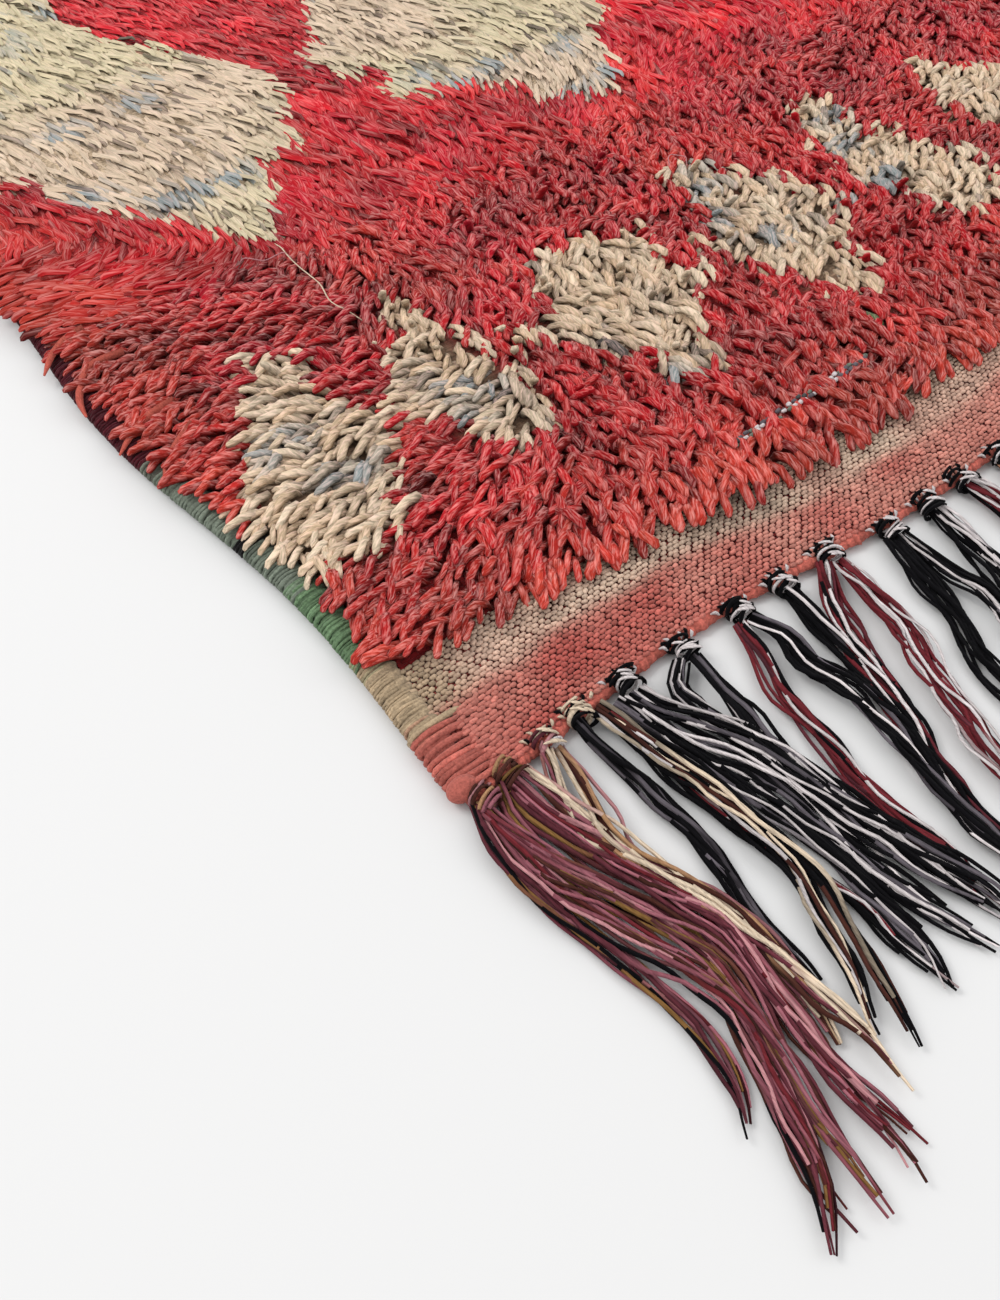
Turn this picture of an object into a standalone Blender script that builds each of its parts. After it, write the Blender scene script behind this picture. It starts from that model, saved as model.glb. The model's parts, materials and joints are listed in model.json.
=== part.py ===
"""A small hand-knotted wool rug that lies flat, in metres, +Z up.

The rug's underside lies on z = 0 with the origin at the middle of its woven part. +Y runs along the
warps, from the knotted fringe to the plain end, and +X runs across, from selvedge to selvedge.
The woven rug is one solid: ground weave, shaggy pile and the locks that hang over its rim.
The two overcast selvedges and the knotted fringe are solids of their own.
"""

import math
import random

import bmesh
import bpy
from mathutils import Matrix, Vector, noise

# Driving sizes of the woven rug.
RUG_WIDTH = 0.96
RUG_LENGTH = 1.51
GAP = 0.0003
WEAVE_THICK = 0.005
SELVEDGE_WIDTH = 0.012
SELVEDGE_THICK = 0.0065
BAND_LENGTH = 0.047

# The pile stands on the weave between the two flat bands.
PILE_TOP = 0.018
PILE_ROOT = 0.002
PILE_INSET = 0.003
LUMP_SIZE = 0.085
LUMP_HEIGHT = 0.0028
RIM_ROUND = 0.045
RIM_TOP = 0.011
PILE_CELLS_ACROSS = 28
PILE_CELLS_ALONG = 44

# The edges wander a little, as they do on a rug woven by eye.
WANDER = 0.0045
WANDER_LENGTH = 0.27
WANDER_ALONG_PHASE = -0.9
WANDER_ACROSS_PHASE = -1.1
STATIONS_ALONG = 48
STATIONS_ACROSS = 40

# Locks of pile at the rim: over the selvedges, and over the flat bands.
LOCK_SIDES = 3
RIM_LOCK_RINGS = 3
RIM_LOCK_WIDTH = 0.0048
RIM_LOCK_HEIGHT = 0.0036
RIM_LOCK_ROOT = 0.010
SIDE_LOCKS = 40
SIDE_LOCK_REACH = 0.027
SIDE_LOCK_ROOT_Z = 0.0095
SIDE_LOCK_TIP_Z = 0.0076
END_LOCKS = 22
END_LOCK_REACH = 0.022
END_LOCK_ROOT_Z = 0.0085
END_LOCK_TIP_Z = 0.0065
LEAN = math.radians(24)

# The fringe: a narrow heading, a knot for each tassel, and locks that lie on the floor.
HEADING_WIDTH = 0.0055
HEADING_THICK = 0.005
KNOT_WIDTH = 0.0115
KNOT_LENGTH = 0.0150
KNOT_HEIGHT = 0.0105
KNOT_OVERLAP = 0.0025
CORNER_TASSELS_MM = (9, 23, 42, 59, 79, 109, 137, 161, 185, 215, 245, 280)
TASSEL_PITCH = 0.025
TASSEL_JITTER = 0.003
TASSEL_LOCKS = 3
FRINGE_LOCK_RINGS = 4
FRINGE_LONGEST = 0.172
FRINGE_SHORTEST = 0.142
FAN_SHARE = 0.40
FAN_MOST = 0.0105
FRINGE_LOCK_ROOT_HEIGHT = 0.0046
FRINGE_LOCK_TIP_HEIGHT = 0.0022
FRINGE_LOCK_ROOT_Z = 0.0028
SETTLE_SHARE = 0.16
SWAY = 0.005
SWAY_LENGTH = 0.16
SWAY_SPREAD = 0.55

SEED = 11
ROUNDING = 0.0018

WOOL_RED = (0.56, 0.075, 0.07, 1.0)
SELVEDGE_MAROON = (0.10, 0.02, 0.03, 1.0)
FRINGE_BLACK = (0.025, 0.023, 0.028, 1.0)


def clear_scene():
    for obj in list(bpy.data.objects):
        bpy.data.objects.remove(obj)


def make_material(name, colour, roughness):
    material = bpy.data.materials.new(name)
    material.use_nodes = True
    shader = material.node_tree.nodes["Principled BSDF"]
    shader.inputs["Base Color"].default_value = colour
    shader.inputs["Roughness"].default_value = roughness
    shader.inputs["Metallic"].default_value = 0.0
    material.diffuse_color = colour
    return material


def make_collection(name):
    collection = bpy.data.collections.new(name)
    bpy.context.scene.collection.children.link(collection)
    return collection


def object_from_bmesh(name, bm, collection, material=None):
    """Puts the bmesh in a new object, with its faces turned outwards."""
    bmesh.ops.recalc_face_normals(bm, faces=bm.faces[:])
    mesh = bpy.data.meshes.new(name)
    bm.to_mesh(mesh)
    bm.free()
    obj = bpy.data.objects.new(name, mesh)
    collection.objects.link(obj)
    if material:
        mesh.materials.append(material)
    return obj


def lie(across, along):
    """Where a point of the flat pattern lies on the floor, once the edges wander."""
    from_end = along + RUG_LENGTH / 2
    from_side = across + RUG_WIDTH / 2
    turn = 2 * math.pi / WANDER_LENGTH
    return (
        across + WANDER * math.sin(turn * from_end + WANDER_ALONG_PHASE),
        along + WANDER * math.sin(turn * from_side + WANDER_ACROSS_PHASE),
    )


def stations(low, high, size, count):
    """low, high and those between them of the places that cut the rug's size in count equal steps."""
    places = [size * (i / count - 0.5) for i in range(count + 1)]
    return [low] + [p for p in places if low + 0.002 < p < high - 0.002] + [high]


def slab_from_outline(name, low, high, thickness, collection):
    """A flat slab on the floor from corner low to corner high of the pattern, its edges wandering."""
    along = stations(low[1], high[1], RUG_LENGTH, STATIONS_ALONG)
    across = stations(low[0], high[0], RUG_WIDTH, STATIONS_ACROSS)
    outline = [(a, low[1]) for a in across[:-1]]
    outline += [(high[0], b) for b in along[:-1]]
    outline += [(a, high[1]) for a in reversed(across[1:])]
    outline += [(low[0], b) for b in reversed(along[1:])]
    curve = bpy.data.curves.new(name, "CURVE")
    curve.dimensions = "2D"
    curve.fill_mode = "BOTH"
    curve.extrude = thickness / 2
    spline = curve.splines.new("POLY")
    spline.points.add(len(outline) - 1)
    spline.use_cyclic_u = True
    for point, place in zip(spline.points, outline):
        point.co = (*lie(*place), 0.0, 1.0)
    drawn = bpy.data.objects.new(name, curve)
    collection.objects.link(drawn)
    drawn.location.z = thickness / 2
    bpy.context.view_layer.update()
    return mesh_from_curve(name, drawn, collection)


def mesh_from_curve(name, drawn, collection):
    """Turns a curve object into a mesh object with welded caps, and removes the curve."""
    graph = bpy.context.evaluated_depsgraph_get()
    mesh = bpy.data.meshes.new_from_object(drawn.evaluated_get(graph))
    placed = drawn.matrix_world.copy()
    bpy.data.objects.remove(drawn)
    bm = bmesh.new()
    bm.from_mesh(mesh)
    bmesh.ops.remove_doubles(bm, verts=bm.verts[:], dist=1e-6)
    bm.transform(placed)
    return object_from_bmesh(name, bm, collection)


def pile_height(across, along, half_across, half_along):
    """Height of the pile's top: lumpy, and rounded down towards its rim."""
    to_rim = min(half_across - abs(across), half_along - abs(along))
    rise = math.sin(math.pi / 2 * min(max(to_rim, 0.0) / RIM_ROUND, 1.0))
    lumps = noise.noise(Vector((across, along, 0.0)) / LUMP_SIZE)
    return RIM_TOP + (PILE_TOP - RIM_TOP) * rise + LUMP_HEIGHT * lumps * rise


def pile_slab(half_across, half_along, collection):
    """The shag as a closed lumpy slab whose root is sunk in the weave."""
    bm = bmesh.new()
    bmesh.ops.create_grid(
        bm, x_segments=PILE_CELLS_ACROSS, y_segments=PILE_CELLS_ALONG, size=1.0
    )
    rim = [e for e in bm.edges if e.is_boundary]
    for vertex in bm.verts:
        across = vertex.co.x * half_across
        along = vertex.co.y * half_along
        height = pile_height(across, along, half_across, half_along)
        vertex.co = (*lie(across, along), height)
    skirt = bmesh.ops.extrude_edge_only(bm, edges=rim)["geom"]
    lowered = [g for g in skirt if isinstance(g, bmesh.types.BMVert)]
    for vertex in lowered:
        vertex.co.z = PILE_ROOT
    foot = [e for e in bm.edges if e.is_boundary]
    bmesh.ops.contextual_create(bm, geom=foot)
    return object_from_bmesh("pile_slab", bm, collection)


def lock_template(rings):
    """A plain three-sided bar, one unit high, cut into rings. Its flat side is towards -Y."""
    bm = bmesh.new()
    bmesh.ops.create_cone(
        bm,
        cap_ends=True,
        segments=LOCK_SIDES,
        radius1=1.0,
        radius2=1.0,
        depth=1.0,
        matrix=Matrix.Translation((0, 0, 0.5)),
    )
    for ring in range(1, rings):
        everything = bm.verts[:] + bm.edges[:] + bm.faces[:]
        bmesh.ops.bisect_plane(
            bm, geom=everything, plane_co=(0, 0, ring / rings), plane_no=(0, 0, 1)
        )
    mesh = bpy.data.meshes.new("lock_template")
    bm.to_mesh(mesh)
    bm.free()
    return mesh


def add_lock(bm, template, bend):
    """Adds one bent copy of the bar. bend(share, side, lift) says where a point of it goes:
    share runs from root 0 to tip 1, side from -1 to 1, and lift from the flat side 0 to the ridge 1.
    """
    first = len(bm.verts)
    bm.from_mesh(template)
    bm.verts.ensure_lookup_table()
    half_base = math.sin(math.radians(120))
    for vertex in bm.verts[first:]:
        share = vertex.co.z
        side = vertex.co.x / half_base
        lift = (vertex.co.y + 0.5) / 1.5
        vertex.co = bend(share, side, lift)


def rim_lock_bend(root, heading, reach, root_z, tip_z):
    """The bend of one lock of pile that lies outwards from the pattern point root."""
    forward = Vector((math.cos(heading), math.sin(heading)))
    sideways = Vector((-forward.y, forward.x))

    def bend(share, side, lift):
        slim = 1.0 - 0.82 * share**3
        place = root + forward * reach * share
        place += sideways * side * RIM_LOCK_WIDTH * slim
        arch = 0.0022 * math.sin(math.pi * min(share * 1.25, 1.0))
        height = root_z + (tip_z - root_z) * share + arch
        return (*lie(*place), height + lift * RIM_LOCK_HEIGHT * slim)

    return bend


def rim_locks(half_across, half_along, collection):
    """Locks of pile round the rim, over both selvedges and over both flat bands."""
    template = lock_template(RIM_LOCK_RINGS)
    draw = random.Random(SEED)
    bm = bmesh.new()
    for side in (-1, 1):
        outwards = 0.0 if side > 0 else math.pi
        step = 2 * half_along / SIDE_LOCKS
        for i in range(SIDE_LOCKS):
            along = -half_along + step * (i + 0.5 + draw.uniform(-0.15, 0.15))
            root = Vector((side * (half_across - RIM_LOCK_ROOT), along))
            heading = outwards + side * -LEAN * draw.uniform(0.6, 1.1)
            reach = SIDE_LOCK_REACH * draw.uniform(0.72, 1.0)
            bend = rim_lock_bend(root, heading, reach, SIDE_LOCK_ROOT_Z, SIDE_LOCK_TIP_Z)
            add_lock(bm, template, bend)
    for end in (-1, 1):
        outwards = end * math.pi / 2
        step = 2 * (half_across - RIM_ROUND / 2) / END_LOCKS
        for i in range(END_LOCKS):
            middle = step * (i + 0.5 - END_LOCKS / 2 + draw.uniform(-0.2, 0.2))
            root = Vector((middle, end * (half_along - RIM_LOCK_ROOT)))
            heading = outwards + LEAN * draw.uniform(-0.8, 0.8)
            reach = END_LOCK_REACH * draw.uniform(0.75, 1.0)
            bend = rim_lock_bend(root, heading, reach, END_LOCK_ROOT_Z, END_LOCK_TIP_Z)
            add_lock(bm, template, bend)
    bpy.data.meshes.remove(template)
    return object_from_bmesh("rim_locks", bm, collection)


def fuse(obj, others):
    """Joins the helper solids to obj with live Boolean unions."""
    for other in others:
        other.hide_render = True
        other.display_type = "WIRE"
        union = obj.modifiers.new("with_" + other.name, "BOOLEAN")
        union.operation = "UNION"
        union.solver = "EXACT"
        union.object = other


def woven_rug(collection, helpers, material):
    """The rug itself: the ground weave with its two flat bands, and the pile on it."""
    half_width = RUG_WIDTH / 2 - SELVEDGE_WIDTH - GAP
    half_length = RUG_LENGTH / 2
    half_pile = half_length - BAND_LENGTH
    rug = slab_from_outline(
        "woven_rug",
        (-half_width, -half_length),
        (half_width, half_length),
        WEAVE_THICK,
        collection,
    )
    rug.data.materials.append(material)
    half_slab = half_width - PILE_INSET
    slab = pile_slab(half_slab, half_pile, helpers)
    locks = rim_locks(half_slab, half_pile, helpers)
    fuse(rug, [slab, locks])
    return rug


def selvedge(name, side, collection, material):
    """An overcast edge: a rounded wool roll the length of the rug, beside the weave."""
    middle = side * (RUG_WIDTH / 2 - SELVEDGE_WIDTH / 2)
    bm = bmesh.new()
    bmesh.ops.create_cube(bm, size=1.0)
    for station in range(1, STATIONS_ALONG):
        everything = bm.verts[:] + bm.edges[:] + bm.faces[:]
        cut = station / STATIONS_ALONG - 0.5
        bmesh.ops.bisect_plane(
            bm, geom=everything, plane_co=(0, cut, 0), plane_no=(0, 1, 0)
        )
    for vertex in bm.verts:
        across = middle + vertex.co.x * SELVEDGE_WIDTH
        along = vertex.co.y * RUG_LENGTH
        vertex.co = (*lie(across, along), (vertex.co.z + 0.5) * SELVEDGE_THICK)
    roll = object_from_bmesh(name, bm, collection, material)
    rounded = roll.modifiers.new("rounded", "BEVEL")
    rounded.width = ROUNDING
    rounded.segments = 1
    rounded.limit_method = "ANGLE"
    rounded.angle_limit = math.radians(50)
    return roll


def tassel_places():
    """Where the knots are tied, as distances across the pattern."""
    draw = random.Random(SEED + 1)
    places = [mm / 1000 - RUG_WIDTH / 2 for mm in CORNER_TASSELS_MM]
    while places[-1] + TASSEL_PITCH < RUG_WIDTH / 2 - KNOT_WIDTH / 2 - TASSEL_JITTER:
        jitter = draw.uniform(-TASSEL_JITTER, TASSEL_JITTER)
        places.append(places[-1] + TASSEL_PITCH + jitter)
    return places


def fringe_sway(across, out):
    """How far sideways the fringe lies at a distance out from the heading."""
    wave = math.sin(2 * math.pi * (out / SWAY_LENGTH + across / SWAY_SPREAD))
    settled = min(out / 0.05, 1.0)
    return SWAY * settled * wave


def tassel_lock_bend(across, root_out, offset, reach, half_width):
    """The bend of one lock of a tassel: out of the knot, down to the floor, and along it."""
    outer_edge = -RUG_LENGTH / 2 - GAP

    def bend(share, side, lift):
        out = root_out + reach * share
        spread = min(share / 0.3, 1.0)
        slim = (0.38 + 0.62 * spread) * (1.0 - 0.86 * max(share - 0.25, 0) ** 2 / 0.5625)
        sideways = offset * (0.42 + 0.58 * spread)
        sideways += side * half_width * slim + fringe_sway(across, out)
        lifted = FRINGE_LOCK_ROOT_Z * max(1.0 - share / SETTLE_SHARE, 0.0)
        tall = FRINGE_LOCK_ROOT_HEIGHT
        tall += (FRINGE_LOCK_TIP_HEIGHT - FRINGE_LOCK_ROOT_HEIGHT) * share
        place = lie(across + sideways, outer_edge - out)
        return (*place, lifted + lift * tall)

    return bend


def tassel_locks(places, collection):
    """Every tassel's locks, fanned as wide as its neighbours leave room."""
    template = lock_template(FRINGE_LOCK_RINGS)
    draw = random.Random(SEED + 2)
    bm = bmesh.new()
    for i, across in enumerate(places):
        to_next = [abs(across - p) for p in places[max(i - 1, 0) : i + 2] if p != across]
        fan = min(FAN_SHARE * min(to_next), FAN_MOST)
        spacing = 2 * fan / (TASSEL_LOCKS - 1 + 0.8)
        for lock in range(TASSEL_LOCKS):
            offset = (lock - (TASSEL_LOCKS - 1) / 2) * spacing
            reach = draw.uniform(FRINGE_SHORTEST, FRINGE_LONGEST)
            root_out = HEADING_WIDTH + KNOT_LENGTH * 0.35
            bend = tassel_lock_bend(across, root_out, offset, reach, spacing * 0.38)
            add_lock(bm, template, bend)
    bpy.data.meshes.remove(template)
    return object_from_bmesh("tassel_locks", bm, collection)


def knots(places, collection):
    """A knot at the root of each tassel, half over the heading."""
    bm = bmesh.new()
    middle_out = HEADING_WIDTH + KNOT_LENGTH / 2 - KNOT_OVERLAP
    for across in places:
        x, y = lie(across, -RUG_LENGTH / 2 - GAP - middle_out)
        ball = Matrix.Translation((x, y, KNOT_HEIGHT / 2))
        ball @= Matrix.Diagonal((KNOT_WIDTH, KNOT_LENGTH, KNOT_HEIGHT, 1.0))
        bmesh.ops.create_uvsphere(bm, u_segments=8, v_segments=4, radius=0.5, matrix=ball)
    return object_from_bmesh("knots", bm, collection)


def fringe(collection, helpers, material):
    """The knotted fringe: heading strip, knots and locks as one solid, beside the cloth's edge."""
    places = tassel_places()
    outer_edge = -RUG_LENGTH / 2 - GAP
    heading = slab_from_outline(
        "fringe",
        (-RUG_WIDTH / 2 + ROUNDING, outer_edge - HEADING_WIDTH),
        (RUG_WIDTH / 2 - ROUNDING, outer_edge),
        HEADING_THICK,
        collection,
    )
    heading.data.materials.append(material)
    fuse(heading, [knots(places, helpers), tassel_locks(places, helpers)])
    return heading


def main():
    clear_scene()
    rug = make_collection("azilal_rug")
    helpers = make_collection("helpers")
    woven_rug(rug, helpers, make_material("pile_wool", WOOL_RED, 0.95))
    overcast = make_material("selvedge_wool", SELVEDGE_MAROON, 0.95)
    selvedge("selvedge_left", -1, rug, overcast)
    selvedge("selvedge_right", 1, rug, overcast)
    fringe(rug, helpers, make_material("fringe_yarn", FRINGE_BLACK, 0.85))
    helpers.hide_render = True


main()
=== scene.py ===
import json
import math

import bmesh
import bpy
import numpy as np
from mathutils import Matrix, Vector

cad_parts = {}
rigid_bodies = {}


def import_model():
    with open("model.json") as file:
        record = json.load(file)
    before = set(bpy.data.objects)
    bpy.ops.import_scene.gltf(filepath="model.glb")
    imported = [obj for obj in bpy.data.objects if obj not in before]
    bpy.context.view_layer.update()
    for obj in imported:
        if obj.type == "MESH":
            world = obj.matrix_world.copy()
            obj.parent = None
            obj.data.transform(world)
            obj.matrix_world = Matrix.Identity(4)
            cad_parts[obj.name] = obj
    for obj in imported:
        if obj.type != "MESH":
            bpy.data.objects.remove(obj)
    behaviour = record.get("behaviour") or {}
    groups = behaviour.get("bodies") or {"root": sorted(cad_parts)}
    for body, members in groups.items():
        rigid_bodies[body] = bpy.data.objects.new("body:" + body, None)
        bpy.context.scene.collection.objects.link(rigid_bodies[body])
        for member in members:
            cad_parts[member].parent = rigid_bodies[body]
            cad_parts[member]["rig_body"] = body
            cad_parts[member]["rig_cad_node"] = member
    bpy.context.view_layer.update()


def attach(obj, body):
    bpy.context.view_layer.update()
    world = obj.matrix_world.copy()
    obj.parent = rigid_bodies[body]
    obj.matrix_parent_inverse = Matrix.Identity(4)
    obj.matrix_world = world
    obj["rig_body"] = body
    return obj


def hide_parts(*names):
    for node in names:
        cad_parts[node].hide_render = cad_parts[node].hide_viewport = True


# The rug's own sizes, in metres, as the CAD part has them.
rug = {
    "width": 0.96,
    "length": 1.51,
    "weave": 0.005,
    "selvedge": 0.012,
    "band": 0.047,
    "wander": 0.0045,
    "wanderLength": 0.27,
    "alongPhase": -0.9,
    "acrossPhase": -1.1,
}

# Chart sizes are millimetres from the near left corner: first across, then along the rug.
chartCorner = (-0.482, -0.759)

camera = {
    "place": (-0.6467, -0.9814, 0.404),
    "heading": math.degrees(math.atan2(0.63, 0.777)),
    "pitch": 49.5,
    "lens": 39.07,
    "sensor": 36.0,
    "frame": (1000, 1300),
}

# Colours by name, as they look in even light.
colours = {
    "coral": (178, 58, 44),
    "edgeLock": (172, 84, 72),
    "crimson": (172, 20, 30),
    "carmine": (160, 18, 38),
    "rose": (188, 30, 42),
    "wine": (120, 30, 34),
    "cream": (212, 194, 168),
    "sand": (200, 170, 136),
    "pinkCream": (198, 180, 158),
    "greenCream": (190, 184, 150),
    "blueStain": (122, 142, 150),
    "ash": (70, 72, 72),
    "green": (110, 132, 92),
    # The root colours are painted shade, the dark foot of the pile.
    "root": (104, 24, 26),
    "rootCreamShade": (122, 98, 80),
    "bed": (158, 44, 46),
    "bedCream": (186, 164, 138),
    "bandBeige": (198, 174, 154),
    "bandPink": (190, 132, 118),
    "bandCoral": (172, 86, 78),
    "bandDark": (120, 44, 42),
    "heading": (182, 96, 84),
    "edgeCoral": (162, 88, 78),
    "edgeOlive": (158, 138, 112),
    "edgeGreen": (92, 116, 86),
    "edgeGrey": (104, 112, 100),
    "edgeMaroon": (64, 18, 26),
    "edgeBlack": (20, 18, 20),
    "yarnBlack": (10, 9, 12),
    "yarnWhite": (196, 188, 188),
    "yarnGrey": (92, 86, 92),
    "yarnCream": (198, 180, 158),
    "yarnTan": (156, 120, 88),
    "yarnMauve": (144, 88, 98),
    "yarnPlum": (88, 42, 50),
    "yarnMaroon": (98, 34, 40),
    "yarnBrown": (66, 36, 30),
    "yarnOlive": (112, 82, 46),
    "yarnPink": (176, 124, 128),
}

# Outlines of the woven figures that the near corner shows, in chart millimetres.
nearFigures = {
    "bigLeft": [
        (112, 606), (126, 640), (166, 640), (158, 604), (151, 583), (155, 560), (167, 535), (182, 515),
        (191, 500), (201, 476), (209, 463), (212, 431), (205, 416), (194, 404), (191, 387), (183, 374),
        (161, 373), (153, 350), (143, 339), (129, 311), (116, 316), (104, 334), (104, 348), (92, 352),
        (85, 369), (74, 384), (57, 405), (60, 424), (44, 437), (40, 470), (52, 500), (66, 530), (84, 556),
        (100, 584),
    ],
    "bigRight": [
        (340, 612), (290, 520), (269, 496), (262, 481), (256, 462), (235, 445), (244, 420), (261, 416),
        (264, 399), (249, 383), (270, 374), (299, 368), (315, 348), (310, 333), (323, 327), (342, 316),
        (355, 315), (370, 336), (389, 370), (414, 391), (428, 440), (420, 480), (398, 520), (370, 560),
    ],
    "smallA": [
        (59, 247), (70, 234), (82, 233), (81, 223), (70, 205), (80, 184), (95, 176), (84, 162), (76, 140),
        (63, 132), (61, 122), (50, 112), (38, 108), (24, 111), (6, 108), (2, 129), (2, 144), (12, 166),
        (30, 189), (28, 199), (42, 208), (46, 222), (56, 229),
    ],
    "smallB": [
        (128, 234), (137, 234), (146, 224), (142, 198), (153, 199), (147, 162), (164, 165), (167, 157),
        (147, 149), (154, 137), (138, 114), (121, 114), (107, 135), (111, 144), (108, 155), (93, 163),
        (94, 175), (92, 185), (105, 195), (110, 209), (125, 203),
    ],
    "smallC": [
        (204, 214), (242, 219), (244, 201), (267, 207), (269, 202), (254, 180), (259, 166), (282, 182),
        (265, 158), (249, 134), (238, 137), (230, 108), (218, 97), (202, 109), (209, 128), (191, 136),
        (190, 150), (177, 167), (160, 178), (192, 174), (192, 192),
    ],
    "smallD": [
        (330, 251), (322, 236), (332, 234), (341, 200), (367, 200), (357, 187), (354, 174), (370, 161),
        (339, 140), (336, 115), (320, 98), (306, 110), (302, 128), (280, 159), (290, 180), (306, 193),
        (300, 214), (310, 227),
    ],
    "smallE": [
        (425, 251), (399, 224), (390, 202), (396, 188), (382, 179), (381, 158), (402, 150), (392, 137),
        (403, 128), (401, 112), (421, 104), (443, 122), (456, 148), (434, 177), (448, 194), (415, 198),
        (433, 220),
    ],
    "smallF": [
        (495, 226), (511, 230), (509, 212), (530, 205), (538, 180), (511, 160), (481, 152), (475, 170),
        (481, 199),
    ],
}

# Blue-grey stains, dark hollows painted as shade, and green flecks in the pile, in chart millimetres.
blueStains = [
    (120, 388), (143, 388), (103, 390), (70, 417), (150, 351), (89, 483), (139, 484), (368, 388),
    (321, 395), (289, 391), (331, 336), (367, 343), (279, 414), (66, 153), (53, 179), (138, 165),
    (413, 200), (391, 157), (316, 217), (427, 223), (385, 165), (322, 170), (302, 195), (118, 148),
    (205, 119), (402, 168), (345, 235),
]
shadedHollows = [
    (84, 130), (124, 182), (148, 153), (198, 154), (239, 164), (227, 125), (105, 394), (133, 496),
    (214, 449), (72, 260), (189, 236), (3, 78),
]
greenFlecks = [(303, 95), (288, 67)]

# How the pile lies near the corner: chart place, heading in degrees, and how flat it lies.
pileLay = [
    (22, 332, 168, 0.9), (15, 262, -168, 0.9), (15, 195, -162, 0.9), (12, 160, -150, 0.9),
    (15, 128, -165, 0.9), (18, 92, -156, 0.9), (26, 60, -148, 0.9), (58, 53, -138, 0.85),
    (82, 46, -122, 0.8), (124, 47, -130, 0.8), (169, 47, -130, 0.8), (216, 48, -130, 0.8),
    (267, 49, -128, 0.9), (328, 54, -128, 0.9), (385, 56, -128, 0.9), (445, 58, -130, 0.9),
    (500, 60, -130, 0.9), (51, 190, 158, 0.9), (70, 167, 156, 0.9), (89, 198, 145, 0.9),
    (100, 249, 158, 0.9), (80, 304, 162, 0.9), (116, 180, 150, 0.9), (135, 220, -96, 0.8),
    (173, 209, -116, 0.5), (87, 121, 175, 0.7), (60, 98, -172, 0.7), (102, 94, -144, 0.4),
    (139, 87, -138, 0.4), (173, 100, -119, 0.4), (177, 130, -92, 0.8), (225, 156, -93, 0.8),
    (202, 186, -105, 0.8), (232, 235, -117, 0.4), (125, 483, -85, 0.9), (70, 440, -84, 0.9),
    (100, 400, -87, 0.9), (160, 430, -86, 0.9), (90, 540, -83, 0.9), (180, 520, -84, 0.9),
    (250, 540, -85, 0.9), (320, 440, -92, 0.9), (370, 420, -94, 0.9), (300, 500, -88, 0.9),
    (128, 354, -94, 0.9), (213, 469, -86, 0.9), (197, 321, -92, 0.9), (263, 305, -105, 0.8),
    (346, 362, -115, 0.8), (355, 297, -130, 0.7), (412, 308, -131, 0.7), (314, 180, -126, 0.7),
    (344, 155, -151, 0.8), (410, 173, -151, 0.8), (487, 190, -160, 0.9), (478, 254, -150, 0.8),
    (354, 93, -105, 0.9), (205, 76, -110, 0.4), (235, 77, -110, 0.4), (265, 78, -110, 0.4),
    (287, 127, -133, 0.6), (289, 86, -130, 0.7), (236, 128, -109, 0.7),
]

# Where a few strands stand up: chart place and reach.
standingPile = [
    (222, 175, 55), (325, 195, 50), (415, 195, 50), (130, 215, 30), (60, 225, 22), (180, 120, 40),
    (260, 250, 45), (370, 130, 45),
]

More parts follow.
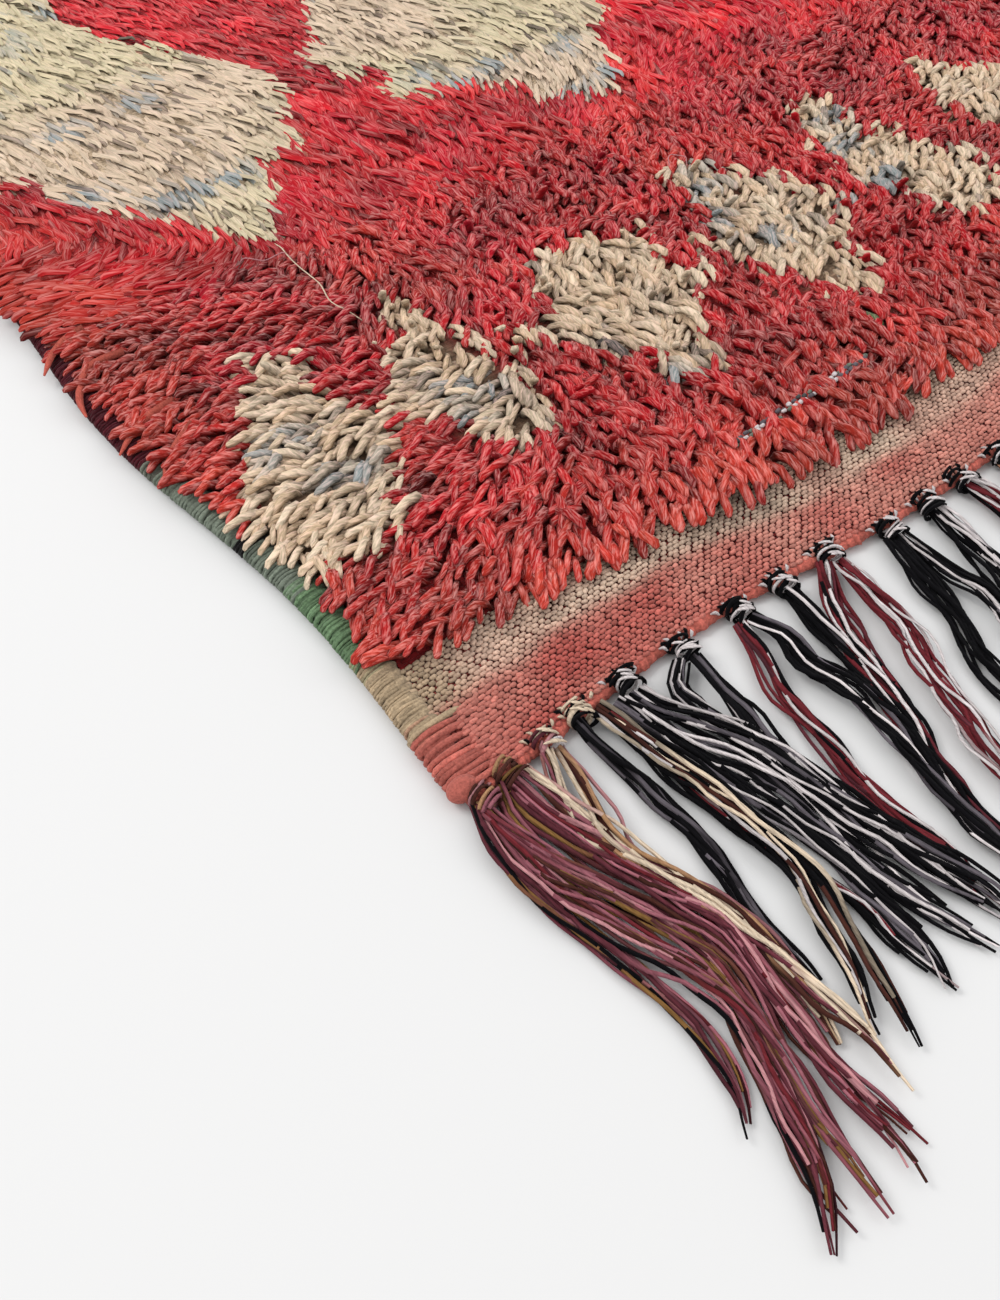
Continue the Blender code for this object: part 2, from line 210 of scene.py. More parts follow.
# The corner's tassels. Each lock has a palette, its width and level in millimetres, how many
# yarns, and its way in chart millimetres, from the knot outwards.
nearLocks = [
    ("mauveDark", 8, 0, 11, [
        (1, -6), (-4, -22), (-6, -37), (-5, -54), (-1, -74), (2, -94), (3, -115), (-1, -133), (-9, -146),
    ]),
    ("mauve", 11, 1, 13, [
        (1, -8), (-2, -25), (-1, -46), (6, -73), (13, -97), (15, -114), (9, -134), (3, -152), (-4, -168),
        (-15, -183),
    ]),
    ("mauve", 10, 1, 12, [
        (2, -8), (3, -26), (9, -49), (17, -75), (23, -96), (21, -116), (16, -137), (11, -153), (8, -170),
        (6, -186),
    ]),
    ("plum", 10, 0, 12, [
        (14, -4), (12, -21), (16, -42), (23, -63), (31, -84), (30, -102), (28, -126), (25, -144),
        (27, -162), (29, -179),
    ]),
    ("mauve", 10, 1, 12, [
        (16, -5), (16, -23), (21, -46), (27, -73), (33, -90), (30, -111), (25, -136), (23, -155),
        (23, -174), (20, -186),
    ]),
    ("plum", 9, 0, 10, [
        (12, -5), (6, -23), (9, -46), (17, -71), (23, -92), (18, -111), (10, -129), (3, -150), (-3, -164),
        (-5, -183),
    ]),
    ("mauveSand", 9, 1, 10, [
        (22, -5), (24, -30), (28, -60), (34, -90), (38, -112), (39, -130), (40, -148), (38, -166),
    ]),
    ("mauveSand", 9, 0, 12, [
        (33, -4), (28, -15), (24, -27), (22, -39), (24, -49), (27, -65), (33, -82), (36, -101), (37, -122),
        (32, -142),
    ]),
    ("sand", 8, 1, 10, [
        (38, -6), (35, -20), (32, -34), (28, -45), (28, -56), (34, -70), (38, -80), (40, -94), (40, -114),
        (36, -132),
    ]),
    ("black", 8, 0, 13, [
        (50, 0), (49, -10), (50, -21), (52, -35), (50, -47), (51, -58), (50, -70), (47, -83), (43, -94),
        (42, -106), (42, -120), (42, -133),
    ]),
    ("creamYarn", 8, 1, 10, [
        (58, -2), (60, -16), (62, -32), (66, -47), (68, -64), (67, -82), (65, -95), (59, -111), (54, -127),
        (47, -141), (43, -153),
    ]),
    ("creamYarn", 6, 1, 8, [
        (62, 0), (64, -19), (68, -45), (68, -71), (70, -90), (68, -105), (63, -119), (58, -135), (54, -147),
        (50, -158),
    ]),
    ("blackWhite", 10, 1, 13, [
        (76, -4), (77, -16), (85, -28), (91, -42), (95, -62), (96, -89), (98, -109), (101, -126),
        (107, -143),
    ]),
    ("black", 12, 0, 15, [
        (72, -4), (75, -28), (85, -53), (88, -73), (88, -96), (89, -117), (92, -135), (96, -152),
    ]),
    ("blackWhite", 11, 0, 13, [
        (68, -3), (72, -32), (76, -62), (80, -94), (80, -116), (78, -138), (71, -156),
    ]),
    ("maroonMix", 7, 0, 8, [
        (62, -6), (62, -30), (63, -51), (66, -76), (74, -109), (73, -131), (75, -153),
    ]),
    ("blackWhite", 11, 0, 13, [
        (99, -4), (89, -12), (88, -20), (89, -31), (93, -47), (96, -69), (98, -89), (101, -112),
        (106, -138), (110, -160),
    ]),
    ("blackWhite", 10, 1, 13, [
        (104, -5), (101, -22), (99, -37), (95, -51), (96, -67), (98, -79), (100, -91), (104, -107),
        (110, -130), (112, -152),
    ]),
    ("maroonMix", 9, 0, 12, [
        (129, -4), (125, -17), (118, -36), (116, -47), (113, -65), (110, -82), (109, -100), (111, -120),
        (109, -138), (112, -156),
    ]),
    ("black", 12, 1, 15, [
        (134, -5), (137, -20), (134, -34), (137, -49), (137, -64), (133, -86), (128, -109), (126, -128),
        (128, -150),
    ]),
    ("blackWhite", 10, 0, 12, [
        (156, -4), (153, -21), (151, -40), (149, -56), (145, -71), (136, -91), (132, -111), (129, -126),
        (131, -148),
    ]),
    ("maroonWhite", 11, 0, 13, [
        (178, -3), (166, -18), (160, -33), (153, -46), (149, -62), (144, -75), (136, -91), (134, -106),
        (130, -123), (133, -150),
    ]),
    ("maroonWhite", 12, 1, 14, [
        (183, -6), (178, -30), (174, -49), (166, -66), (162, -79), (159, -90), (153, -107), (150, -130),
        (154, -156),
    ]),
    ("blackWhite", 11, 0, 14, [
        (209, -10), (202, -33), (198, -50), (188, -70), (185, -84), (184, -104), (188, -126), (190, -150),
    ]),
    ("blackWhite", 9, 1, 10, [
        (214, -12), (211, -34), (213, -48), (211, -62), (206, -84), (202, -106), (204, -130), (206, -148),
    ]),
    ("blackWhite", 14, 0, 22, [
        (235, -10), (231, -33), (227, -51), (222, -70), (220, -92), (222, -116), (226, -140), (228, -160),
    ]),
    ("maroonMix", 14, 0, 22, [
        (258, -8), (258, -25), (257, -44), (252, -66), (248, -90), (250, -116), (254, -140), (256, -164),
    ]),
]

# Knots of the corner: chart place, and the palette that winds round it.
nearKnots = [
    (4, -6, "pinkWind"), (17, -3, "brownWind"), (36, -1, "sandWind"), (53, 1, "creamWind"),
    (76, 1, "blackWhite"), (104, 0, "blackWhite"), (133, 0, "blackWhite"), (156, 0, "blackWhite"),
    (182, -1, "blackWhite"), (212, -7, "blackWhite"), (235, -7, "blackWhite"), (257, -6, "blackWhite"),
]

palettes = {
    "mauve": [
        ("yarnMauve", 4), ("yarnPlum", 4), ("yarnPink", 2), ("yarnMaroon", 2), ("yarnBrown", 3),
        ("yarnOlive", 1), ("yarnBlack", 1),
    ],
    "mauveDark": [("yarnPlum", 3), ("yarnMaroon", 2), ("yarnBlack", 3), ("yarnOlive", 2), ("yarnMauve", 3)],
    "plum": [
        ("yarnPlum", 3), ("yarnMauve", 3), ("yarnMaroon", 2), ("yarnBrown", 2), ("yarnOlive", 1),
        ("yarnBlack", 2),
    ],
    "mauveSand": [("yarnMauve", 2), ("yarnPlum", 2), ("yarnBrown", 2), ("yarnCream", 2), ("yarnTan", 3)],
    "sand": [("yarnCream", 1), ("yarnTan", 2), ("yarnPlum", 3), ("yarnBrown", 3), ("yarnPink", 2)],
    "black": [("yarnBlack", 7), ("yarnGrey", 1), ("yarnWhite", 1)],
    "blackWhite": [("yarnBlack", 9), ("yarnWhite", 2), ("yarnGrey", 1)],
    "creamYarn": [("yarnCream", 3), ("yarnWhite", 1), ("yarnBlack", 4), ("yarnBrown", 1)],
    "maroonMix": [("yarnMaroon", 4), ("yarnBlack", 3), ("yarnWhite", 2), ("yarnPlum", 1)],
    "maroonWhite": [("yarnMaroon", 5), ("yarnWhite", 2), ("yarnBlack", 1), ("yarnPlum", 1)],
}


def linear(name):
    value = np.array(colours[name], float) / 255
    return np.where(value <= 0.04045, value / 12.92, ((value + 0.055) / 1.055) ** 2.4)


def lie(across, along):
    fromEnd = along + rug["length"] / 2
    fromSide = across + rug["width"] / 2
    turn = 2 * math.pi / rug["wanderLength"]
    return (
        across + rug["wander"] * np.sin(turn * fromEnd + rug["alongPhase"]),
        along + rug["wander"] * np.sin(turn * fromSide + rug["acrossPhase"]),
    )


def fromChart(side, end):
    return chartCorner[0] + side / 1000, chartCorner[1] + end / 1000


def toChart(x, y):
    return (x - chartCorner[0]) * 1000, (y - chartCorner[1]) * 1000


def insideOutline(x, y, outline):
    inside = np.zeros(len(x), bool)
    for (x0, y0), (x1, y1) in zip(outline, outline[1:] + outline[:1]):
        if y0 == y1:
            continue
        crosses = (y0 > y) != (y1 > y)
        inside ^= crosses & (x < (x1 - x0) * (y - y0) / (y1 - y0) + x0)
    return inside


def smoothNoise(x, y, size, seed):
    draw = np.random.default_rng(seed)
    table = draw.random((64, 64))
    gx, gy = x / size, y / size
    ix, iy = np.floor(gx).astype(int), np.floor(gy).astype(int)
    fx, fy = gx - ix, gy - iy
    fx, fy = fx * fx * (3 - 2 * fx), fy * fy * (3 - 2 * fy)
    corner = [table[(iy + b) % 64, (ix + a) % 64] for b in (0, 1) for a in (0, 1)]
    low = corner[0] * (1 - fx) + corner[1] * fx
    high = corner[2] * (1 - fx) + corner[3] * fx
    return low * (1 - fy) + high * fy


def figureAt(side, end):
    # 0 is the red field, 1 a small cream figure, 2 a big one.
    figure = np.zeros(len(side), int)
    for name, outline in nearFigures.items():
        figure[insideOutline(side, end, outline)] = 2 if name.startswith("big") else 1
    ragged = smoothNoise(side, end, 16, 3) - 0.5
    for column, middle in enumerate((125, 340, 575, 825)):
        for row, centre in enumerate((458, 750, 1042)):
            if row == 0 and column < 2:
                continue
            away = np.abs(side - middle) / 87 + np.abs(end - centre) / 145 + ragged * 0.22
            figure[away < 0.96] = 2
    for centre in (174, 1336):
        for i in range(10):
            if centre == 174 and i < 6:
                continue
            middle = 46 + 94.5 * i
            away = np.abs(side - middle) / 47 + np.abs(end - centre) / 58 + ragged * 0.4
            figure[away < 0.95] = 1
    return figure


def layAt(side, end):
    anchors = np.array(pileLay, float)
    dirX = np.zeros(len(side))
    dirY = np.zeros(len(side))
    flat = np.zeros(len(side))
    total = np.full(len(side), 1e-6)
    for x, y, heading, level in anchors:
        pull = np.exp(-((side - x) ** 2 + (end - y) ** 2) / (2 * 26.0**2))
        dirX += pull * math.cos(math.radians(heading))
        dirY += pull * math.sin(math.radians(heading))
        flat += pull * level
        total += pull
    width, length = rug["width"] * 1000, rug["length"] * 1000
    away = 0.03
    outLeft = np.exp(-side / 45)
    outRight = np.exp(-(width - side) / 45)
    far = np.exp(-(length - end) / 30)
    sway = smoothNoise(side, end, 90, 8) - 0.5
    dirX += away * (1.6 * (outRight - outLeft) + 0.9 * sway - 0.25 * np.clip(1 - end / 700, 0, 1))
    dirY += away * (-1.0 + 2.4 * far)
    flat += away * 0.8
    return np.arctan2(dirY, dirX), flat / (total + away)


def material(name, build, roughness, sheen):
    made = bpy.data.materials.new(name)
    made.use_nodes = True
    tree = made.node_tree
    shader = tree.nodes["Principled BSDF"]
    shader.inputs["Roughness"].default_value = roughness
    shader.inputs["Sheen Weight"].default_value = sheen
    shader.inputs["Sheen Roughness"].default_value = 0.5
    shader.inputs["Specular IOR Level"].default_value = 0.06
    build(tree, shader)
    return made


def node(tree, kind, sockets=None, **settings):
    # Adds a node and fills its sockets. A value that is another node's output is linked.
    made = tree.nodes.new(kind)
    for key, value in settings.items():
        setattr(made, key, value)
    for key, value in (sockets or {}).items():
        if isinstance(value, bpy.types.NodeSocket):
            tree.links.new(value, made.inputs[key])
        else:
            made.inputs[key].default_value = value
    return made


def maths(tree, operation, *values):
    return node(tree, "ShaderNodeMath", dict(enumerate(values)), operation=operation).outputs[0]


def spread(tree, value, fromMin, fromMax, toMin, toMax, **settings):
    sockets = {"Value": value, "From Min": fromMin, "From Max": fromMax, "To Min": toMin, "To Max": toMax}
    return node(tree, "ShaderNodeMapRange", sockets, **settings).outputs[0]


def attribute(tree, name, output):
    return node(tree, "ShaderNodeAttribute", attribute_name=name).outputs[output]


def shaded(tree, shade):
    # The piece's own colour, made paler or darker by a shade.
    sockets = {0: attribute(tree, "tint", "Color"), "Scale": shade}
    return node(tree, "ShaderNodeVectorMath", sockets, operation="SCALE").outputs[0]


def finishLook(tree, shader, colour, height, strength, depth, **settings):
    sockets = {"Height": height, "Strength": strength, "Distance": depth}
    bump = node(tree, "ShaderNodeBump", sockets, **settings)
    tree.links.new(colour, shader.inputs["Base Color"])
    tree.links.new(bump.outputs[0], shader.inputs["Normal"])


# Looks of the two pile wools. rootShade, flankShade and creaseShade are painted shade, and crestHighlight is
# a painted highlight.
pileWools = {
    "pileWool": {
        "fibresAround": 14.0, "fibresAlong": 5.0, "twist": 0.5, "depth": 0.0009, "contrast": 0.30,
        "rootShade": 0.34, "flankShade": 0.66, "creaseShade": 0.78, "crestHighlight": 0.40,
    },
    "pileWoolSoft": {
        "fibresAround": 14.0, "fibresAlong": 2.0, "twist": 0.3, "depth": 0.0005, "contrast": 0.22,
        "rootShade": 1.0, "flankShade": 1.0, "creaseShade": 0.96, "crestHighlight": 0.32,
    },
}


def yarnLook(look):
    # Colour comes with each yarn as an attribute. Fibres run along it, turned by its twist.
    def build(tree, shader):
        uv = node(tree, "ShaderNodeUVMap", uv_map="yarnUv")
        split = node(tree, "ShaderNodeSeparateXYZ", {0: uv.outputs[0]})
        around, along = split.outputs[0], split.outputs[1]
        turned = maths(tree, "MULTIPLY_ADD", along, look["twist"], around)
        joined = node(tree, "ShaderNodeCombineXYZ", {
            0: maths(tree, "MULTIPLY", turned, look["fibresAround"]),
            1: maths(tree, "MULTIPLY", along, look["fibresAlong"]),
            2: attribute(tree, "seed", "Fac"),
        })
        noise = {"Vector": joined.outputs[0], "Scale": 1.0, "Detail": 3.0, "Roughness": 0.6}
        fibres = node(tree, "ShaderNodeTexNoise", noise).outputs["Fac"]
        shade = spread(tree, fibres, 0.36, 0.64, 1.0 - look["contrast"], 1.0 + look["contrast"] * 0.6)
        # Painted shade: each strand is darker towards its root.
        rooted = spread(tree, along, 0.05, 0.6, look["rootShade"], 1.0)
        # The crest of a strand is at a quarter of the way round: it is painted paler than the flanks, a
        # painted highlight on top and painted shade on the flanks.
        wave = maths(tree, "SINE", maths(tree, "MULTIPLY", around, 2 * math.pi))
        flank = spread(tree, wave, -0.5, 1.0, look["flankShade"], 1.08)
        # Two plies wind round each other. The crease between them is painted darker, painted shade, and is
        # also raised in the bump.
        wound = maths(tree, "MULTIPLY_ADD", along, 4.0, maths(tree, "MULTIPLY", around, 2.0))
        folded = maths(tree, "PINGPONG", wound, 0.5)
        ply = spread(tree, folded, 0.0, 0.24, look["creaseShade"], 1.0, interpolation_type="SMOOTHSTEP")
        # The fibres' own grain is multiplied by the painted shade of crease, root and flanks.
        grainAndPaintedShade = shade
        for other in (ply, rooted, flank):
            grainAndPaintedShade = maths(tree, "MULTIPLY", grainAndPaintedShade, other)
        # Painted highlight: a pale pink is mixed in on each crest, where the fibres peak.
        crestHighlightShare = spread(tree, wave, -0.3, 1.0, 0.0, look["crestHighlight"])
        highlightFibres = spread(tree, fibres, 0.44, 0.66, 0.0, 1.0)
        highlighted = node(tree, "ShaderNodeMix", {
            "Factor": maths(tree, "MULTIPLY", crestHighlightShare, highlightFibres),
            "A": shaded(tree, grainAndPaintedShade),
            "B": (0.80, 0.52, 0.48, 1.0),
        }, data_type="RGBA")
        raised = maths(tree, "MULTIPLY_ADD", ply, 0.8, fibres)
        finishLook(tree, shader, highlighted.outputs["Result"], raised, 0.9, look["depth"])

    return build


weave = {"warp": 0.0039, "weft": 0.0021, "gap": 0.0004, "fluff": 420.0, "depth": 0.0008}


def weaveLook(tree, shader):
    # Plain weave drawn on Object coordinates, with fluff in its place under the pile.
    place = node(tree, "ShaderNodeTexCoord").outputs["Object"]
    brick = node(tree, "ShaderNodeTexBrick", {
        "Vector": place,
        "Scale": 1.0,
        "Brick Width": weave["warp"],
        "Row Height": weave["weft"],
        "Mortar Size": weave["gap"],
        "Mortar Smooth": 0.6,
        "Color1": (1.0, 1.0, 1.0, 1.0),
        "Color2": (0.8, 0.8, 0.8, 1.0),
        "Mortar": (0.22, 0.17, 0.16, 1.0),
    })
    fluff = node(tree, "ShaderNodeTexNoise", {"Vector": place, "Scale": weave["fluff"], "Detail": 4.0})
    chosen = node(tree, "ShaderNodeMix", {
        "Factor": attribute(tree, "bare", "Fac"),
        "A": fluff.outputs["Fac"],
        "B": brick.outputs["Color"],
    }, data_type="RGBA")
    sockets = {0: attribute(tree, "tint", "Color"), 1: chosen.outputs["Result"]}
    tinted = node(tree, "ShaderNodeVectorMath", sockets, operation="MULTIPLY").outputs[0]
    finishLook(tree, shader, tinted, brick.outputs["Fac"], 0.9, weave["depth"], invert=True)


# Fluffy yarns. A stretch below one draws the grain out along the rug.
plainWools = {
    "bandWool": {"grain": 1300.0, "depth": 0.0005, "dark": 0.35, "pale": 1.6, "stretch": 1.0},
    "edgeWool": {"grain": 1000.0, "depth": 0.0007, "dark": 0.30, "pale": 1.75, "stretch": 1.0},
    "fringeYarn": {"grain": 1500.0, "depth": 0.0004, "dark": 0.25, "pale": 1.8, "stretch": 0.10},
}


def plainLook(look):
    def build(tree, shader):
        place = node(tree, "ShaderNodeTexCoord").outputs["Object"]
        sockets = {0: place, 1: (1.0, look["stretch"], 1.0)}
        drawn = node(tree, "ShaderNodeVectorMath", sockets, operation="MULTIPLY").outputs[0]
        noise = {"Vector": drawn, "Scale": look["grain"], "Detail": 4.0}
        grain = node(tree, "ShaderNodeTexNoise", noise).outputs["Fac"]
        shade = spread(tree, grain, 0.0, 1.0, look["dark"], look["pale"])
        finishLook(tree, shader, shaded(tree, shade), grain, 0.8, look["depth"])

    return build


def meshObject(name, mesh):
    made = bpy.data.objects.new(name, mesh)
    bpy.context.scene.collection.objects.link(made)
    return made


def setTint(mesh, values):
    layer = mesh.attributes.new("tint", "FLOAT_COLOR", "POINT")
    rgba = np.ones((len(mesh.vertices), 4), np.float32)
    rgba[:, :3] = values
    layer.data.foreach_set("color", rgba.ravel())


def smooth(mesh):
    mesh.polygons.foreach_set("use_smooth", np.ones(len(mesh.polygons), bool))


def tuftMesh(name, rings, sides, girth, bend, drop, sideways, ply):
    # One strand of pile, one unit long, leaning to +X. Its root is at the origin.
    path = [Vector((0, 0, 0))]
    count = 40
    for i in range(count):
        u = (i + 0.5) / count
        angle = bend[0] + (bend[1] - bend[0]) * min(u / 0.35, 1) ** 0.8 + drop * max(u - 0.35, 0) / 0.65
        yaw = sideways * (math.sin(u * math.pi * 1.3 - 0.4) + 0.5 * math.sin(u * math.pi * 3.1))
        step = Vector((math.sin(angle) * math.cos(yaw), math.sin(angle) * math.sin(yaw), math.cos(angle)))
        path.append(path[-1] + step / count)
    stops = [0.0, 0.74]
    if rings > 3:
        stops = [0.0] + [0.26 + 0.60 * i / (rings - 3) for i in range(rings - 2)] + [0.955]
    bm = bmesh.new()
    uvLayer = bm.loops.layers.uv.new("yarnUv")
    ringVerts = []
    for u in stops:
        i = min(int(u * count), count - 1)
        centre = path[i].lerp(path[i + 1], u * count - i)
        ahead = (path[min(i + 2, count)] - path[max(i - 1, 0)]).normalized()
        side = ahead.cross(Vector((0, 0, 1)))
        side = side.normalized() if side.length > 1e-4 else Vector((0, 1, 0))
        up = side.cross(ahead)
        radius = girth * (0.78 + 0.22 * math.sin(math.pi * min(u / 1.1, 1) ** 1.3)) * (1 - 0.10 * u * u)
        if u > 0.92:
            radius *= 0.76
        ring = []
        for k in range(sides):
            phi = 2 * math.pi * k / sides
            lobe = 1 + ply * math.cos(2 * (phi - 3.2 * u))
            ring.append(bm.verts.new(centre + (side * math.cos(phi) + up * math.sin(phi)) * radius * lobe))
        ringVerts.append(ring)
    tip = bm.verts.new(path[count])
    for j in range(len(stops) - 1):
        for k in range(sides):
            n = (k + 1) % sides
            face = bm.faces.new((ringVerts[j][k], ringVerts[j + 1][k], ringVerts[j + 1][n], ringVerts[j][n]))
            for loop, (a, b) in zip(face.loops, ((k, j), (k, j + 1), (k + 1, j + 1), (k + 1, j))):
                loop[uvLayer].uv = (a / sides, stops[b])
    for k in range(sides):
        n = (k + 1) % sides
        face = bm.faces.new((ringVerts[-1][k], tip, ringVerts[-1][n]))
        for loop, (a, v) in zip(face.loops, ((k, stops[-1]), (k + 0.5, 1.0), (k + 1, stops[-1]))):
            loop[uvLayer].uv = (a / sides, v)
    mesh = bpy.data.meshes.new(name)
    bm.to_mesh(mesh)
    bm.free()
    smooth(mesh)
    return mesh


def ellipsoidMesh(name, across, along, tall, segments, rings):
    bm = bmesh.new()
    bmesh.ops.create_uvsphere(
        bm, u_segments=segments, v_segments=rings, radius=0.5,
        matrix=Matrix.Diagonal((across, along, tall, 1.0)) @ Matrix.Rotation(math.pi / 2, 4, "Y"),
    )
    mesh = bpy.data.meshes.new(name)
    bm.to_mesh(mesh)
    bm.free()
    smooth(mesh)
    return mesh


def templateCollection(name, meshes):
    collection = bpy.data.collections.new(name)
    for i, mesh in enumerate(meshes):
        collection.objects.link(bpy.data.objects.new(f"{name}{i:02d}", mesh))
    return collection


def dropCollection(collection):
    for obj in list(collection.objects):
        bpy.data.objects.remove(obj)
    bpy.data.collections.remove(collection)


def growTree(name, inputs, build):
    # A tree with named inputs. What its own nodes build is realized and given its material.
    tree = bpy.data.node_groups.new(name, "GeometryNodeTree")
    tree.interface.new_socket(name="Geometry", in_out="INPUT", socket_type="NodeSocketGeometry")
    for key, kind, default in inputs + [("Material", "NodeSocketMaterial", None)]:
        made = tree.interface.new_socket(name=key, in_out="INPUT", socket_type=kind)
        if default is not None:
            made.default_value = default
    tree.interface.new_socket(name="Geometry", in_out="OUTPUT", socket_type="NodeSocketGeometry")
    start = node(tree, "NodeGroupInput").outputs
    real = node(tree, "GeometryNodeRealizeInstances", {"Geometry": build(tree, start)})
    sockets = {"Geometry": real.outputs["Geometry"], "Material": start["Material"]}
    coat = node(tree, "GeometryNodeSetMaterial", sockets)
    node(tree, "NodeGroupOutput", {"Geometry": coat.outputs["Geometry"]})
    return tree


def named(tree, name, kind):
    return node(tree, "GeometryNodeInputNamedAttribute", {"Name": name}, data_type=kind).outputs["Attribute"]


def repeatShapes(tree, start):
    # Sets a copy of one of the shapes on each point, by the point's kind, turn and size.
    sockets = {"Collection": start["Shapes"], "Separate Children": True, "Reset Children": True}
    shapes = node(tree, "GeometryNodeCollectionInfo", sockets)
    points = node(tree, "GeometryNodeMeshToPoints", {"Mesh": start["Geometry"]})
    sockets = {0: named(tree, "size", "FLOAT_VECTOR"), "Scale": start["Length"]}
    scaled = node(tree, "ShaderNodeVectorMath", sockets, operation="SCALE")
    placed = node(tree, "GeometryNodeInstanceOnPoints", {
        "Points": points.outputs["Points"],
        "Instance": shapes.outputs["Instances"],
        "Pick Instance": True,
        "Instance Index": named(tree, "kind", "INT"),
        "Rotation": named(tree, "turn", "FLOAT_VECTOR"),
        "Scale": scaled.outputs[0],
    })
    return placed.outputs["Instances"]


def roundLines(tree, start):
    # Gives each polyline a round section, by the thickness stored on its points.
    curve = node(tree, "GeometryNodeMeshToCurve", {"Mesh": start["Geometry"]})
    thick = named(tree, "thick", "FLOAT")
    radius = node(tree, "GeometryNodeSetCurveRadius", {"Curve": curve.outputs["Curve"], "Radius": thick})
    circle = node(tree, "GeometryNodeCurvePrimitiveCircle", {"Radius": 1.0, "Resolution": start["Sides"]})
    sockets = {"Curve": radius.outputs["Curve"], "Profile Curve": circle.outputs["Curve"], "Fill Caps": True}
    tube = node(tree, "GeometryNodeCurveToMesh", sockets)
    if "Scale" in tube.inputs:
        tree.links.new(thick, tube.inputs["Scale"])
    return tube.outputs["Mesh"]


def grown(name, source, tree, values):
    # Runs a tree on a source mesh and keeps the result as a plain mesh.
    holder = meshObject(name + "Source", source)
    modifier = holder.modifiers.new("grow", "NODES")
    modifier.node_group = tree
    for item in tree.interface.items_tree:
        if item.in_out == "INPUT" and item.name in values:
            modifier[item.identifier] = values[item.name]
    bpy.context.view_layer.update()
    graph = bpy.context.evaluated_depsgraph_get()
    mesh = bpy.data.meshes.new_from_object(holder.evaluated_get(graph))
    bpy.data.objects.remove(holder)
    mesh.name = name
    return meshObject(name, mesh)


def softened(piece, share):
    # Fluffy wool shades softly, so its normals turn part of the way up. No tip dips into the floor.
    mesh = piece.data
    places = np.zeros(len(mesh.vertices) * 3, np.float32)
    mesh.vertices.foreach_get("co", places)
    places[2::3] = np.maximum(places[2::3], 0.0002)
    mesh.vertices.foreach_set("co", places)
    mesh.update()
    normals = np.zeros(len(mesh.vertices) * 3, np.float32)
    mesh.vertex_normals.foreach_get("vector", normals)
    normals = normals.reshape(-1, 3)
    share = share * np.clip(1 + 1.4 * normals[:, 2], 0, 1)
    normals = normals * (1 - share)[:, None]
    normals[:, 2] += share
    normals /= np.linalg.norm(normals, axis=1)[:, None] + 1e-6
    mesh.normals_split_custom_set_from_vertices(normals)


def pointMesh(name, places, values):
    mesh = bpy.data.meshes.new(name)
    mesh.from_pydata([tuple(p) for p in places], [], [])
    for key, (kind, data) in values.items():
        layer = mesh.attributes.new(key, kind, "POINT")
        field = {"INT": "value", "FLOAT": "value", "FLOAT_VECTOR": "vector", "FLOAT_COLOR": "color"}[kind]
        stored = np.asarray(data).astype(np.int32 if kind == "INT" else np.float32)
        layer.data.foreach_set(field, stored.ravel())
    return mesh


def withAlpha(rgb):
    return np.concatenate([rgb, np.ones((len(rgb), 1))], 1)


def mixed(first, second, share):
    # Mixes two colours, each a name or an array, by a share for each point.
    first, second = (linear(c) if isinstance(c, str) else c for c in (first, second))
    return first * (1 - share[:, None]) + second * share[:, None]


def ramp(value, start, length):
    return np.clip((value - start) / length, 0, 1)


def toRim(side, end):
    # Millimetres to the nearest edge of the pile.
    across = np.minimum(side, rug["width"] * 1000 - side)
    return np.minimum(across, np.minimum(end - pile["rim"], rug["length"] * 1000 - pile["rim"] - end))


